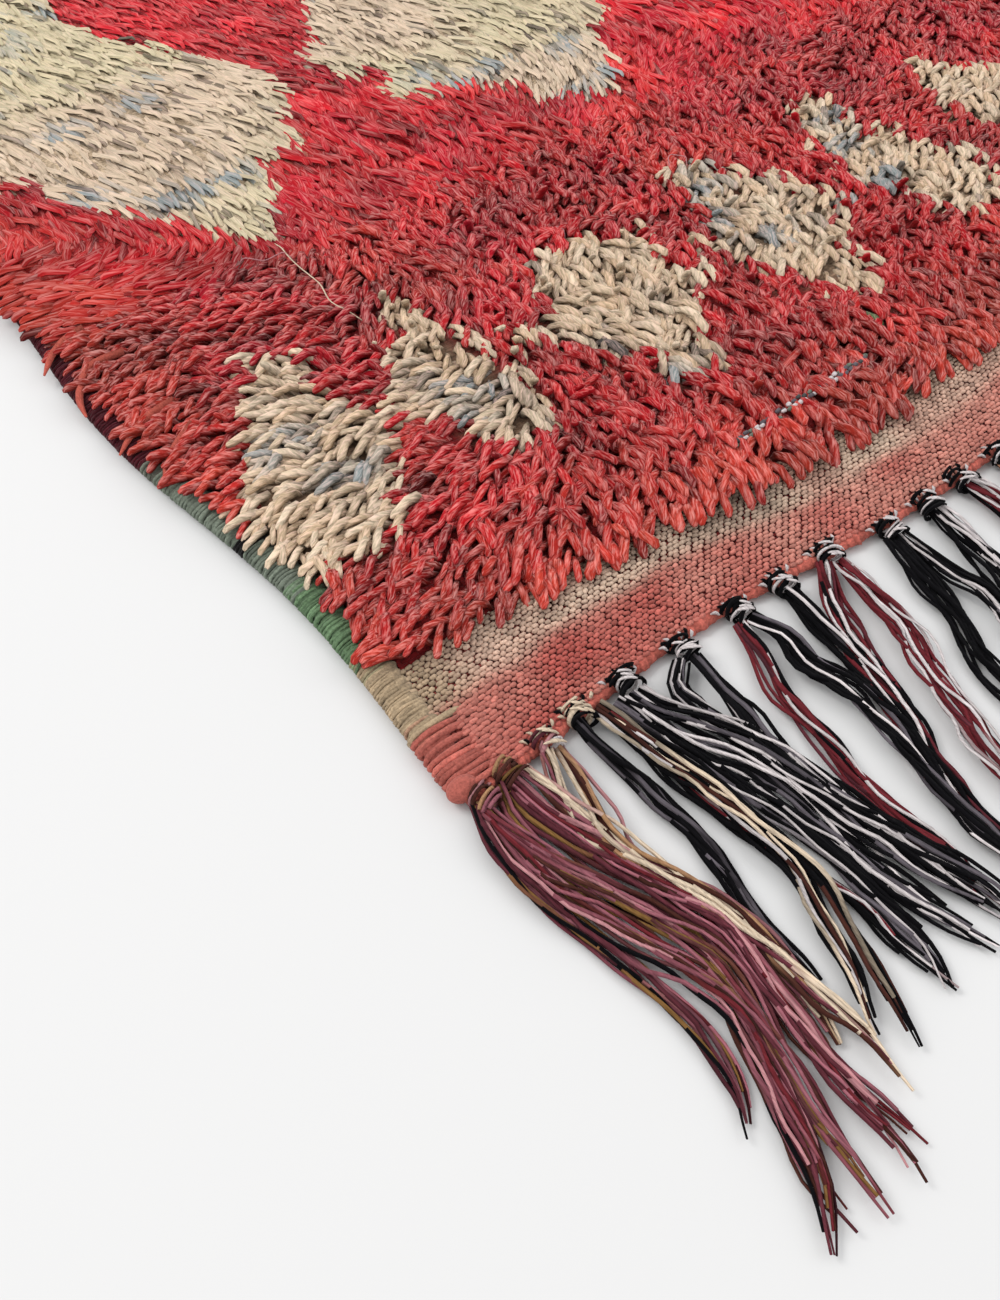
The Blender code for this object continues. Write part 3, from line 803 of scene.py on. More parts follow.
def pileTints(side, end, figure, draw):
    count = len(side)
    rim = toRim(side, end)
    patches = smoothNoise(side, end, 48, 5) * 0.6 + smoothNoise(side, end, 17, 6) * 0.4
    coral = np.clip(1.25 - rim / 55, 0, 1) * 0.75 + np.clip((patches - 0.45) * 2.2, 0, 1) * 0.5
    coral = np.clip(coral + draw.normal(0, 0.16, count), 0, 1)
    tint = mixed("crimson", "coral", coral)
    far = ramp(end, 270, 160) * ramp(side, -40, 160) * np.clip((760 - side) / 200, 0.2, 1)
    tint = mixed(tint, "rose", far * 0.75)
    deep = np.clip((smoothNoise(side, end, 27, 19) - 0.52) * 5, 0, 1) * ramp(end, 120, 120) * ramp(rim, 0, 60)
    tint = mixed(tint, "carmine", deep * draw.uniform(0.4, 0.9, count))
    wine = (draw.random(count) < 0.07) * draw.uniform(0.4, 0.9, count)
    tint = mixed(tint, "wine", wine)
    cream = mixed("cream", "sand", draw.random(count) * 0.8)
    big = figure == 2
    blush = np.clip(smoothNoise(side, end, 60, 17) * 2.2 - 0.6, 0, 1)
    tinge = mixed("greenCream", "pinkCream", blush)
    cream[big] = mixed(cream[big], tinge[big], np.full(big.sum(), 0.7))
    # Painted shade: a few strands in the big figures are darkened, standing for the shaded gaps between
    # strands.
    gapShadeStrands = big & (draw.random(count) < 0.035)
    stains = np.clip((smoothNoise(side, end * 2.4, 30, 12) - 0.70) * 4.5, 0, 0.7) * (end > 500)
    for x, y in blueStains:
        stains = stains + np.exp(-((side - x) / 14) ** 2 - ((end - y) / 6) ** 2)
    stained = np.clip(stains + draw.normal(0, 0.10, count), 0, 0.8) * (stains > 0.15)
    cream = mixed(cream, "blueStain", stained)
    # Painted shade at the listed hollows; a few random strands are darkened too. Cream goes towards ash, red
    # towards half the dark root colour.
    hollowShadeAndDarkStrands = (draw.random(count) < 0.03) * 0.6
    for x, y in shadedHollows:
        hollowShadeAndDarkStrands = np.maximum(hollowShadeAndDarkStrands, np.exp(-(np.hypot(side - x, end - y) / 5) ** 2))
    cream = mixed(cream, "ash", hollowShadeAndDarkStrands)
    tint = mixed(tint, linear("root") * 0.5, hollowShadeAndDarkStrands)
    # Painted shade of the gaps.
    cream[gapShadeStrands] *= 0.35
    tint[figure > 0] = cream[figure > 0]
    shadow = 0.20 * np.exp(-side / 70) * ramp(end, 180, 80) * (figure == 0)
    tint = tint * (1 - shadow)[:, None]
    for x, y in greenFlecks:
        tint[np.hypot(side - x, end - y) < 3.6] = linear("green")
    light = draw.normal(0, 0.09, count) * np.where(big, 0.5, 1)
    # Painted light and shade: clumps of pile are made paler and the valleys between them darker. The red
    # field is also made a little paler towards the right and the far end.
    lumps = (smoothNoise(side, end, 21, 18) - 0.5) * np.where(figure > 0, 0.16, 0.82)
    lumps = lumps + 0.09 * ramp(side, 120, 140) * ramp(end, 130, 120) * (figure == 0)
    return np.clip(tint * (1.02 + light + lumps)[:, None], 0, 1)


def inView(x, y, margin):
    heading = math.radians(camera["heading"])
    pitch = math.radians(camera["pitch"])
    level = np.array([math.sin(heading), math.cos(heading), 0.0])
    forward = level * math.cos(pitch) + np.array([0.0, 0.0, -math.sin(pitch)])
    right = np.array([math.cos(heading), -math.sin(heading), 0.0])
    down = np.cross(forward, right)
    focal = camera["lens"] / camera["sensor"] * camera["frame"][1]
    offset = np.stack([x, y, np.full(len(x), 0.012)], 1) - np.array(camera["place"])
    depth = offset @ forward
    px = camera["frame"][0] / 2 + focal * (offset @ right) / depth
    py = camera["frame"][1] / 2 + focal * (offset @ down) / depth
    wide, tall = camera["frame"]
    return (depth > 0) & (px > -margin) & (px < wide + margin) & (py > -margin) & (py < tall + margin)


pile = {
    "root": 0.0045,
    "lift": 0.0055,
    "length": 0.0195,
    "closeStep": 0.0045,
    "middleStep": 0.0042,
    "softStep": 0.0030,
    "farStep": 0.0091,
    "closeReach": 300,
    "softFrom": 470,
    "inset": 0.0015,
    "bandInset": 0.009,
    "opening": (192, 276),
    "openingAt": 63,
    "openingHalf": 2.4,
    "rim": 45,
    "mostTriangles": 195000,
}


def pileCreep(across):
    # The pile creeps over the near band towards the right, and hangs back at the left corner.
    return np.interp(across, [-0.46, -0.43, -0.36, -0.18], [-0.003, 0.002, 0.008, 0.009])


def tuftPlaces(step, seed):
    draw = np.random.default_rng(seed)
    halfAcross = rug["width"] / 2 - rug["selvedge"] - pile["inset"]
    halfAlong = rug["length"] / 2 - rug["band"] - pile["bandInset"]
    across = np.arange(-halfAcross, halfAcross + step / 2, step)
    along = np.arange(-halfAlong - 0.014, halfAlong + step / 2, step * 0.98)
    gx, gy = np.meshgrid(across, along)
    gx = gx + (np.arange(len(along)) % 2)[:, None] * step / 2
    gx = (gx + draw.uniform(-0.36, 0.36, gx.shape) * step).ravel()
    gy = (gy + draw.uniform(-0.30, 0.30, gy.shape) * step).ravel()
    openSide, openEnd = toChart(gx, gy)
    left, right = pile["opening"]
    middle = pile["openingAt"] + (openSide - left) * 0.05
    opened = (openSide > left) & (openSide < right) & (np.abs(openEnd - middle) < pile["openingHalf"])
    kept = (gy > -halfAlong - pileCreep(gx)) & ~opened
    gx, gy = np.clip(gx[kept], -halfAcross, halfAcross), np.minimum(gy[kept], halfAlong)
    return lie(gx, gy)


def pilePoints(x, y, seed):
    draw = np.random.default_rng(seed)
    count = len(x)
    side, end = toChart(x, y)
    heading, flat = layAt(side, end)
    curly = np.clip((0.75 - flat) * 2.2, 0, 1)
    clump = smoothNoise(side, end, 19, 14) + smoothNoise(side, end, 41, 15) - 1
    # Beyond the small figures the pile lies long and flat. Round them it is shorter and curlier.
    steady = ramp(end, 290, 80)
    standing = np.zeros(count)
    for spotX, spotY, reach in standingPile:
        away = (side - spotX) ** 2 + (end - spotY) ** 2
        standing = np.maximum(standing, 0.07 * np.exp(-away / reach**2))
    stray = draw.normal(0, 1, count) * (0.11 - 0.03 * steady + 0.22 * curly)
    heading = heading + clump * (0.75 - 0.50 * steady) + stray
    overBand = np.clip((78 - end) / 20, 0, 1) * ramp(side, 60, 120)
    longer = 0.96 + 0.44 * steady + 0.15 * overBand + 0.2 * curly
    length = pile["length"] * draw.uniform(0.78, 1.22, count) * longer
    reach = length * 0.62
    shownX = x + np.cos(heading) * reach
    shownY = y + np.sin(heading) * reach
    figure = figureAt(*toChart(shownX, shownY))
    tint = pileTints(side, end, figure, draw)
    upright = draw.random(count) < 0.03 * (1 - steady) + 0.35 * curly
    kind = np.where(upright, draw.integers(4, 8, count), draw.integers(0, 4, count))
    stands = draw.random(count) < standing
    kind = np.where(stands, draw.integers(8, 10, count), kind)
    turn = np.stack([draw.normal(0, 0.10, count), draw.normal(0, 0.09, count), heading], 1)
    size = length / pile["length"]
    girth = draw.uniform(0.85, 1.2, count) * (1 - 0.08 * steady)
    tall = draw.uniform(0.85, 1.05, count) * (1 - 0.20 * steady) * np.where(stands, 0.8, 1.0)
    size = np.stack([size, girth * np.minimum(size, 1.1), size * tall], 1)
    mound = np.clip(smoothNoise(side, end, 46, 16) * 1.5 - 0.25, 0, 1)
    lift = pile["lift"] * (0.55 * draw.random(count) + 0.45 * mound) * np.clip(toRim(side, end) / 45, 0.15, 1)
    lift = lift * (1 - 0.6 * (upright | stands)) * (1 - 0.6 * steady)
    places = np.stack([x, y, pile["root"] + lift], 1)
    return places, {
        "kind": ("INT", kind),
        "turn": ("FLOAT_VECTOR", turn),
        "size": ("FLOAT_VECTOR", size),
        "tint": ("FLOAT_COLOR", withAlpha(tint)),
        "seed": ("FLOAT", draw.uniform(0, 40, count)),
    }


def tuftSet(name, rings, sides, girth, ply, sway):
    # Ten strands: how each leans at root and middle, how its tip drops, and how it sways.
    bends = [
        ((0.40, 1.20), 0.95, 0.55), ((0.55, 1.30), 0.80, -0.65), ((0.30, 1.10), 1.20, 0.8),
        ((0.50, 1.25), 1.00, -0.40), ((0.15, 0.90), 1.1, 0.7), ((0.20, 1.10), 1.5, -0.8),
        ((0.10, 0.80), 1.3, 0.5), ((0.30, 1.20), 1.7, 1.0), ((0.05, 0.35), 0.30, 0.4),
        ((0.10, 0.50), 0.15, -0.5),
    ]
    meshes = []
    for i, (bend, drop, sideways) in enumerate(bends):
        meshes.append(tuftMesh(f"{name}{i}", rings, sides, girth, bend, drop, sideways * sway, ply))
    return templateCollection(name, meshes)


def chosenPlaces(step, seed, zone):
    x, y = tuftPlaces(step, seed)
    side, end = toChart(x, y)
    seen = inView(x, y, 45)
    close = end < pile["closeReach"]
    soft = ~close & ((end > pile["softFrom"]) | (figureAt(side, end - 8) == 2))
    zones = {"close": seen & close, "middle": seen & ~close & ~soft, "soft": seen & soft, "far": ~seen}
    return x[zones[zone]], y[zones[zone]]


def growPile(tree, coat, softCoat):
    # For each piece its zone, its seed, its strand's rings, sides, girth, ply and sway, and the
    # triangles of one strand.
    groups = [
        ("pileClose", "close", 21, ("tuftFine", 5, 5, 0.102, 0.10, 0.9), 45),
        ("pileMiddle", "middle", 23, ("tuftMiddle", 4, 4, 0.100, 0.0, 0.7), 28),
        ("pileSoft", "soft", 24, ("tuftSoft", 4, 3, 0.070, 0.0, 0.3), 21),
        ("pileFar", "far", 22, ("tuftPlain", 2, 3, 0.155, 0.0, 1.0), 9),
    ]
    pieces = []
    for name, zone, seed, strand, triangles in groups:
        x, y = chosenPlaces(pile[zone + "Step"], seed, zone)
        shapes = tuftSet(*strand)
        wool, softness = (coat, 0.25) if zone == "close" else (softCoat, 0.6)
        parts = math.ceil(len(x) * triangles / pile["mostTriangles"])
        for i, some in enumerate(np.array_split(np.argsort(x), parts)):
            places, values = pilePoints(x[some], y[some], 30 + len(pieces))
            source = pointMesh(f"{name}Points{i}", places, values)
            values = {"Shapes": shapes, "Length": pile["length"], "Material": wool}
            piece = grown(f"{name}{i}", source, tree, values)
            softened(piece, softness)
            pieces.append(piece)
        dropCollection(shapes)
        print("pile", name, len(x), "tufts in", parts, "pieces")
    return pieces


band = {"warp": 0.0033, "weft": 0.00195, "stitch": (0.0037, 0.0024, 0.0019), "shownTo": 360}


def waveAt(side):
    # How far the woven edges wander along the rug, in chart millimetres.
    turn = 2 * math.pi / (rug["wanderLength"] * 1000)
    return rug["wander"] * 1000 * np.sin(turn * (side - 2) + rug["acrossPhase"])


def bandTint(side, end, draw):
    toCloth = end - 4 - waveAt(side)
    stripe = 32 - 9 * np.clip(side / 200, 0, 1) + 5 * (smoothNoise(side, end, 18, 31) - 0.5)
    beige = 1 / (1 + np.exp(-(toCloth - stripe) / 1.7))
    inner = mixed("bandPink", "bandBeige", np.clip(0.5 + smoothNoise(side, end, 30, 32), 0, 1))
    outer = mixed("bandPink", "bandCoral", np.clip(smoothNoise(side, end, 22, 33) * 1.3, 0, 1))
    tint = mixed(outer, inner, beige)
    tint = mixed(tint, "edgeOlive", np.clip((40 - side) / 22, 0, 0.85) * beige)
    # A break in the weave, near a fifth of the way across, is darker.
    nearBreak = np.exp(-((side - 172) / 24) ** 2) * beige
    tint = tint * (1 - 0.38 * nearBreak[:, None])
    return np.clip(tint * draw.normal(1.0, 0.12, len(side))[:, None], 0, 1)


def growBeads(tree, coat):
    draw = np.random.default_rng(41)
    rows = np.arange(-0.0012, rug["band"] + 0.010, band["weft"])
    steps = np.arange(0.0100, band["shownTo"] / 1000, band["warp"])
    gx, gy = np.meshgrid(steps, rows)
    gx = gx + (np.arange(len(rows)) % 2)[:, None] * band["warp"] / 2
    shown = (gx.ravel() > 0.0160) | (gy.ravel() > 0.030)
    gx, gy = gx.ravel()[shown], gy.ravel()[shown]
    longer = np.clip(1 - (gx - 0.017) / 0.022, 0, 1) * (gy < 0.030)
    gx = gx + draw.normal(0, 0.00025, len(gx))
    gy = gy + draw.normal(0, 0.00012, len(gy)) + 0.0007 * np.sin(gx * 55) * np.clip(gy / 0.02, 0, 1)
    x, y = lie(gx - rug["width"] / 2, gy - rug["length"] / 2)
    z = np.full(len(x), rug["weave"] - 0.0001)
    tint = bandTint(*toChart(x, y), draw)
    # Bare wefts show where the pile parts beside the band.
    bare = np.arange(192, 278, 3.4)
    for row in range(2):
        level = 62 + (bare - 192) * 0.05 + row * 1.9 + draw.normal(0, 0.3, len(bare))
        bareX, bareY = fromChart(bare + row * 1.7, level)
        x, y = np.append(x, bareX), np.append(y, bareY)
        z = np.append(z, 0.0136 + draw.normal(0, 0.0004, len(bare)))
        names = [("yarnWhite", "edgeGrey", "yarnGrey", "ash")[i] for i in draw.integers(0, 4, len(bare))]
        tint = np.concatenate([tint, np.array([linear(n) for n in names])])
        longer = np.append(longer, np.zeros(len(bare)))
    count = len(x)
    size = np.stack([
        draw.uniform(0.85, 1.1, count) * (1 + 0.45 * longer),
        draw.uniform(0.88, 1.15, count) * (1 + 0.12 * longer),
        draw.uniform(0.85, 1.2, count) * (1 + 0.2 * longer),
    ], 1)
    turn = np.stack([np.zeros(count), draw.normal(0, 0.06, count), draw.normal(0, 0.16, count) + 0.05], 1)
    places = np.stack([x, y, z + draw.uniform(-0.0003, 0.0003, count)], 1)
    source = pointMesh("beadPoints", places, {
        "kind": ("INT", np.zeros(count)),
        "turn": ("FLOAT_VECTOR", turn),
        "size": ("FLOAT_VECTOR", size),
        "tint": ("FLOAT_COLOR", withAlpha(tint)),
        "seed": ("FLOAT", draw.uniform(0, 40, count)),
    })
    shape = templateCollection("bead", [ellipsoidMesh("beadShape", *band["stitch"], 6, 3)])
    piece = grown("bandStitches", source, tree, {"Shapes": shape, "Length": 1.0, "Material": coat})
    dropCollection(shape)
    print("band stitches", count)
    return piece


def coated(name, mesh, coat):
    # Gives a closed mesh its coat and turns its faces outwards.
    mesh.materials.append(coat)
    bm = bmesh.new()
    bm.from_mesh(mesh)
    bmesh.ops.recalc_face_normals(bm, faces=bm.faces[:])
    bm.to_mesh(mesh)
    bm.free()
    return meshObject(name, mesh)


ground = {
    "drop": 0.0008,
    "swell": 0.0048,
    "farSwell": 0.0012,
    "lumps": 0.0026,
    "redGain": 2.4,
    "creamGain": 1.9,
}


def growGround(coat):
    # The woven ground as one closed sheet: painted dark under the pile near the corner, painted shade at the
    # foot of the pile, and striped at its two flat bands.
    half = rug["width"] / 2 - rug["selvedge"]
    halfLong = rug["length"] / 2
    across = np.linspace(-half, half, 75)
    bandRows = np.linspace(0, 0.076, 22)
    middle = np.linspace(-halfLong + 0.076, halfLong - 0.076, 64)
    along = np.concatenate([-halfLong + bandRows[:-1], middle, halfLong - bandRows[:-1][::-1]])
    gx, gy = (g.ravel() for g in np.meshgrid(across, along))
    x, y = lie(gx, gy)
    side, end = toChart(x, y)
    count, wide, tall = len(x), len(across), len(along)
    # Under the locks the sheet swells into the close lower pile, so no gap shows bare cloth.
    fromSide = half - np.abs(gx)
    nearer = np.minimum(gy + halfLong + pileCreep(gx), halfLong - gy)
    fromBand = nearer - rug["band"] - pile["bandInset"]
    swell = np.clip((fromBand + 0.001) / 0.010, 0, 1) * np.clip(fromSide / 0.008, 0, 1)
    lumps = smoothNoise(x * 1000 + 900, y * 1000 + 900, 16, 52) - 0.5
    rise = ground["swell"] + ground["farSwell"] * ramp(end, 290, 80) + ground["lumps"] * lumps
    top = np.stack([x, y, rug["weave"] - ground["drop"] + swell * rise], 1)
    bottom = np.stack([x, y, np.zeros(count)], 1)
    quads = []
    for j in range(tall - 1):
        for i in range(wide - 1):
            a = j * wide + i
            quads.append((a, a + 1, a + wide + 1, a + wide))
    under = [tuple(count + v for v in reversed(q)) for q in quads]
    rim = list(range(wide)) + [j * wide + wide - 1 for j in range(1, tall)]
    rim += [(tall - 1) * wide + i for i in range(wide - 2, -1, -1)]
    rim += [j * wide for j in range(tall - 2, 0, -1)]
    walls = [(b, a, count + a, count + b) for a, b in zip(rim, rim[1:] + rim[:1])]
    mesh = bpy.data.meshes.new("groundWeave")
    mesh.from_pydata(np.concatenate([top, bottom]).tolist(), [], quads + under + walls)
    draw = np.random.default_rng(51)
    mirrored = np.where(end > rug["length"] * 500, rug["length"] * 1000 + 8 - end, end)
    tint = bandTint(side, mirrored, draw)
    inPile = fromBand > -0.003
    figured = figureAt(side, end) > 0
    # Painted shade: under the pile, the bed leans to the dark root colours near the corner.
    distant = ramp(end + 0.5 * side, 260, 160)
    redBed = mixed("root", "bed", distant) * ground["redGain"]
    creamBed = mixed("rootCreamShade", "bedCream", distant) * ground["creamGain"]
    tint[inPile] = np.clip(np.where(figured[:, None], creamBed, redBed), 0, 1)[inPile]
    nearBand = (~inPile) & (end < 100) & (side < band["shownTo"])
    tint[nearBand] = linear("bandDark")
    tint[nearBand & (side < 48)] = linear("bandCoral") * 0.8
    backs = bandTint(side, mirrored, draw)
    backs[inPile] = linear("coral")
    backs[inPile & figured] = linear("cream")
    setTint(mesh, np.concatenate([tint, backs]))
    layer = mesh.attributes.new("bare", "FLOAT", "POINT")
    layer.data.foreach_set("value", np.concatenate([1.0 - inPile, np.ones(count)]).astype(np.float32))
    mesh.validate()
    return coated("groundWeave", mesh, coat)


edge = {
    "rib": 0.0021,
    "ribRadius": 0.00114,
    "roll": 0.0042,
    "width": 0.0122,
    "tall": 0.0068,
    "out": 0.0022,
    "ribsFrom": 0.0008,
    "ribsTo": 0.47,
    "cornerTo": 0.030,
    "bandTo": 0.072,
    "sides": 10,
    "square": 0.75,
    "lean": 0.0006,
}


def edgeTint(end, draw):
    zones = [
        (0, "edgeCoral"), (26, "edgeCoral"), (30, "edgeOlive"), (66, "edgeOlive"), (74, "edgeGreen"),
        (112, "edgeGreen"), (118, "edgeGrey"), (141, "edgeGrey"), (144, "edgeBlack"), (151, "edgeBlack"),
        (154, "edgeGrey"), (205, "edgeGrey"), (216, "edgeMaroon"), (1285, "edgeMaroon"),
        (1300, "edgeGrey"), (1400, "edgeGreen"), (1440, "edgeOlive"), (1480, "edgeOlive"),
        (1484, "edgeCoral"), (1600, "edgeCoral"),
    ]
    stops = [z[0] for z in zones]
    values = np.array([linear(z[1]) for z in zones])
    tint = np.stack([np.interp(end, stops, values[:, c]) for c in range(3)], 1)
    return np.clip(tint * draw.normal(1.0, 0.10, len(end))[:, None], 0, 1)


def rollObject(name, rings, tint, sides, coat):
    # Skins rings of points as one closed roll.
    verts = np.array(rings)
    verts[:, 0], verts[:, 1] = lie(verts[:, 0], verts[:, 1])
    last = len(verts) - sides
    faces = []
    for start in range(0, last, sides):
        for s in range(sides):
            n = (s + 1) % sides
            faces.append((start + s, start + sides + s, start + sides + n, start + n))
    faces.append(tuple(range(sides)))
    faces.append(tuple(last + s for s in reversed(range(sides))))
    mesh = bpy.data.meshes.new(name)
    mesh.from_pydata(verts.tolist(), [], faces)
    setTint(mesh, np.array(tint))
    smooth(mesh)
    return coated(name, mesh, coat)


def growEdge(name, side, coat, out):
    # The overcast edge: a roll that swells with each turn of yarn, painted darker between the turns as
    # painted shade in the creases.
    draw = np.random.default_rng(61 + side)
    length, sides = rug["length"], edge["sides"]
    ends = np.append(np.arange(0, length, edge["roll"] / 2), length)
    middle = side * (rug["width"] / 2 - rug["selvedge"] / 2 + out / 2)
    wide = edge["width"] + out
    rib = np.abs(np.sin(math.pi * ends / edge["roll"])) ** 0.6
    turnNumber = np.floor(ends / edge["roll"]).astype(int)
    swell = draw.normal(1.0, 0.05, turnNumber.max() + 2)[turnNumber]
    verts, tint = [], []
    shades = edgeTint(ends * 1000, draw)
    for k, along in enumerate(ends):
        scale = (0.86 + 0.14 * rib[k]) * swell[k]
        if k in (0, len(ends) - 1):
            scale *= 0.7
        for s in range(sides):
            phi = 2 * math.pi * s / sides
            cx, cz = math.cos(phi), math.sin(phi)
            px = math.copysign(abs(cx) ** edge["square"], cx) * wide / 2 * scale
            pz = edge["tall"] / 2 + math.copysign(abs(cz) ** edge["square"], cz) * edge["tall"] / 2 * scale
            verts.append((middle + px, along - length / 2 + edge["lean"] * cx, max(pz, 0.0)))
            # Painted shade: the colour is darker between the turns of yarn.
            tint.append(shades[k] * (0.55 + 0.45 * rib[k]))
    return rollObject(name, verts, tint, sides, coat)


def growRibs(tree, coat):
    # Yarn laid over the left edge near the corner: long ribs over the band, short ones beyond.
    draw = np.random.default_rng(66)
    lines = []
    outer = -rug["width"] / 2 - edge["out"]
    middle, wide = outer + 0.0080, 0.0080
    taper = np.array([0.8, 1, 1, 1, 1, 1, 1.0, 1.0, 0.9])
    along = edge["ribsFrom"]
    while along < edge["ribsTo"]:
        atCorner, atBand = along < edge["cornerTo"], along < edge["bandTo"]
        fat = 1.25 if atCorner else 0.70 if atBand else 0.82
        reach = draw.uniform(0.018, 0.025) if atCorner else draw.uniform(0.0115, 0.0145) if atBand else 0.013
        inner = outer + reach
        way = []
        for angle in (216, 196, 178, 160, 138, 112):
            turn = math.radians(angle)
            way.append((middle + wide * math.cos(turn), 0.0036 + 0.0030 * math.sin(turn)))
        way += [(middle, 0.0064), (middle * 0.45 + inner * 0.55, 0.0055), (inner, 0.0038)]
        drift = draw.normal(0, 0.00035, len(way)).cumsum() * 0.6
        way = np.array(way)
        x, y = lie(way[:, 0], along - rug["length"] / 2 + drift)
        path = np.stack([x, y, way[:, 1]], 1)
        place = np.array([along * 1000 + draw.normal(0, 3.0)])
        shade = edgeTint(place, draw)[0] * draw.uniform(0.85, 1.15)
        thick = edge["ribRadius"] * fat * draw.uniform(0.9, 1.1) * taper * draw.uniform(0.82, 1.15, 9)
        lines.append((path, shade * draw.uniform(0.82, 1.18, (9, 1)), thick))
        along += edge["rib"] * fat * draw.uniform(0.93, 1.07)
    return yarnObject("edgeRibs", lines, tree, 5, coat)


def spline(points, count):
    points = np.array(points, float)
    padded = np.concatenate([[2 * points[0] - points[1]], points, [2 * points[-1] - points[-2]]])
    lengths = np.concatenate([[0], np.cumsum(np.linalg.norm(np.diff(points, axis=0), axis=1))])
    wanted = np.linspace(0, lengths[-1], count)
    which = np.clip(np.searchsorted(lengths, wanted, side="right") - 1, 0, len(points) - 2)
    t = ((wanted - lengths[which]) / (lengths[which + 1] - lengths[which]))[:, None]
    p0, p1, p2, p3 = (padded[which + k] for k in range(4))
    square, cube = 2 * p0 - 5 * p1 + 4 * p2 - p3, 3 * p1 - p0 - 3 * p2 + p3
    return 0.5 * (2 * p1 + (p2 - p0) * t + square * t**2 + cube * t**3)


yarn = {
    "radius": 0.0008,
    "knotRadius": 0.0009,
    "fineRadius": 0.00062,
    "nearSteps": 31,
    "farSteps": 12,
    "knotSteps": 40,
    "farKnotSteps": 26,
    "nearCount": 1.08,
    "farCount": 8,
    "farWidth": 9,
    "farThicker": 1.15,
    "farLength": (145, 172),
    "apart": (22, 28),
}


def pickName(palette, draw):
    names = [n for n, _ in palettes[palette]]
    weights = np.array([w for _, w in palettes[palette]], float)
    return names[draw.choice(len(names), p=weights / weights.sum())]


def lockYarns(lines, palette, width, level, count, way, steps, draw, radius):
    # Spreads a lock's yarns over its width and thickness, loosely twisted round each other.
    centre = spline(way, steps)
    ahead = np.gradient(centre, axis=0)
    ahead /= np.linalg.norm(ahead, axis=1)[:, None]
    across = np.stack([-ahead[:, 1], ahead[:, 0]], 1)
    u = np.linspace(0, 1, steps)
    spread = np.interp(u, [0, 0.05, 0.28, 0.8, 1], [0.5, 0.55, 0.92, 0.75, 0.35])
    length = np.linalg.norm(np.diff(centre, axis=0), axis=1).sum()
    for i in range(count):
        offset = draw.uniform(-1, 1)
        up = draw.uniform(0, 1) * math.sqrt(max(1 - offset**2, 0.05))
        name = pickName(palette, draw)
        loose = 1.25 if name in ("yarnWhite", "yarnCream") else 1.0
        up = max(up, 0.45) if loose > 1 else up
        sideways = offset * 0.95 * np.ones(steps)
        bounce = np.zeros(steps)
        for wave, size in ((110, 0.30), (52, 0.20), (27, 0.10)):
            phase = draw.uniform(0, 2 * math.pi)
            turn = 2 * math.pi * length / wave * draw.uniform(0.8, 1.25) * u + phase
            sideways = sideways + size * loose * draw.uniform(0.5, 1.4) * np.sin(turn)
            bounce = bounce + size * np.cos(turn)
        sideways = sideways * spread * width / 2
        stop = draw.uniform(0.84, 1.0)
        flat = centre + across * sideways[:, None]
        x, y = fromChart(flat[:, 0], flat[:, 1])
        tall = np.interp(u, [0, 0.10, 0.3, 1], [3.4, 4.8, 3.8, 1.6]) / 1000
        lifted = np.interp(u, [0, 0.06, 0.22, 1], [2.0, 1.6, 0.2, 0.0]) / 1000
        z = radius + lifted + level * 0.0026 * np.interp(u, [0, 0.3, 0.9, 1], [0, 1, 0.8, 0.2])
        z = z + (up * 0.75 + 0.5 + 0.6 * bounce) * tall * (0.75 if loose == 1.0 else 1.0)
        z = np.maximum(z, radius * 1.3)
        keep = max(int(round(steps * stop)), 4)
        colour = linear(name) * draw.uniform(0.8, 1.2)
        other = linear(pickName(palette, draw)) if name not in ("yarnBlack", "yarnWhite") else colour * 0.8
        mottle = 0.5 + 1.2 * np.sin(2 * math.pi * draw.uniform(0.5, 2.5) * u + draw.uniform(0, 6))
        share = np.clip(mottle, 0, 1) * draw.uniform(0, 0.8)
        shades = colour[None] * (1 - share[:, None]) + other[None] * share[:, None]
        finer = 0.82 if name == "yarnWhite" else 1.0
        thick = radius * draw.uniform(0.75, 1.25) * finer * np.interp(u[:keep], [0, 0.8, 1], [1, 1, 0.55])
        lines.append((np.stack([x, y, z], 1)[:keep], shades[:keep], thick))


windings = {
    "blackWhite": ["yarnBlack", "yarnBlack", "yarnWhite", "yarnBlack"],
    "pinkWind": ["yarnPink", "yarnBrown", "yarnTan", "yarnMauve"],
    "brownWind": ["yarnTan", "yarnBrown", "yarnOlive", "yarnBrown"],
    "sandWind": ["yarnCream", "yarnPlum", "yarnPink", "yarnWhite"],
    "creamWind": ["yarnCream", "yarnBlack", "yarnCream", "yarnBlack"],
}


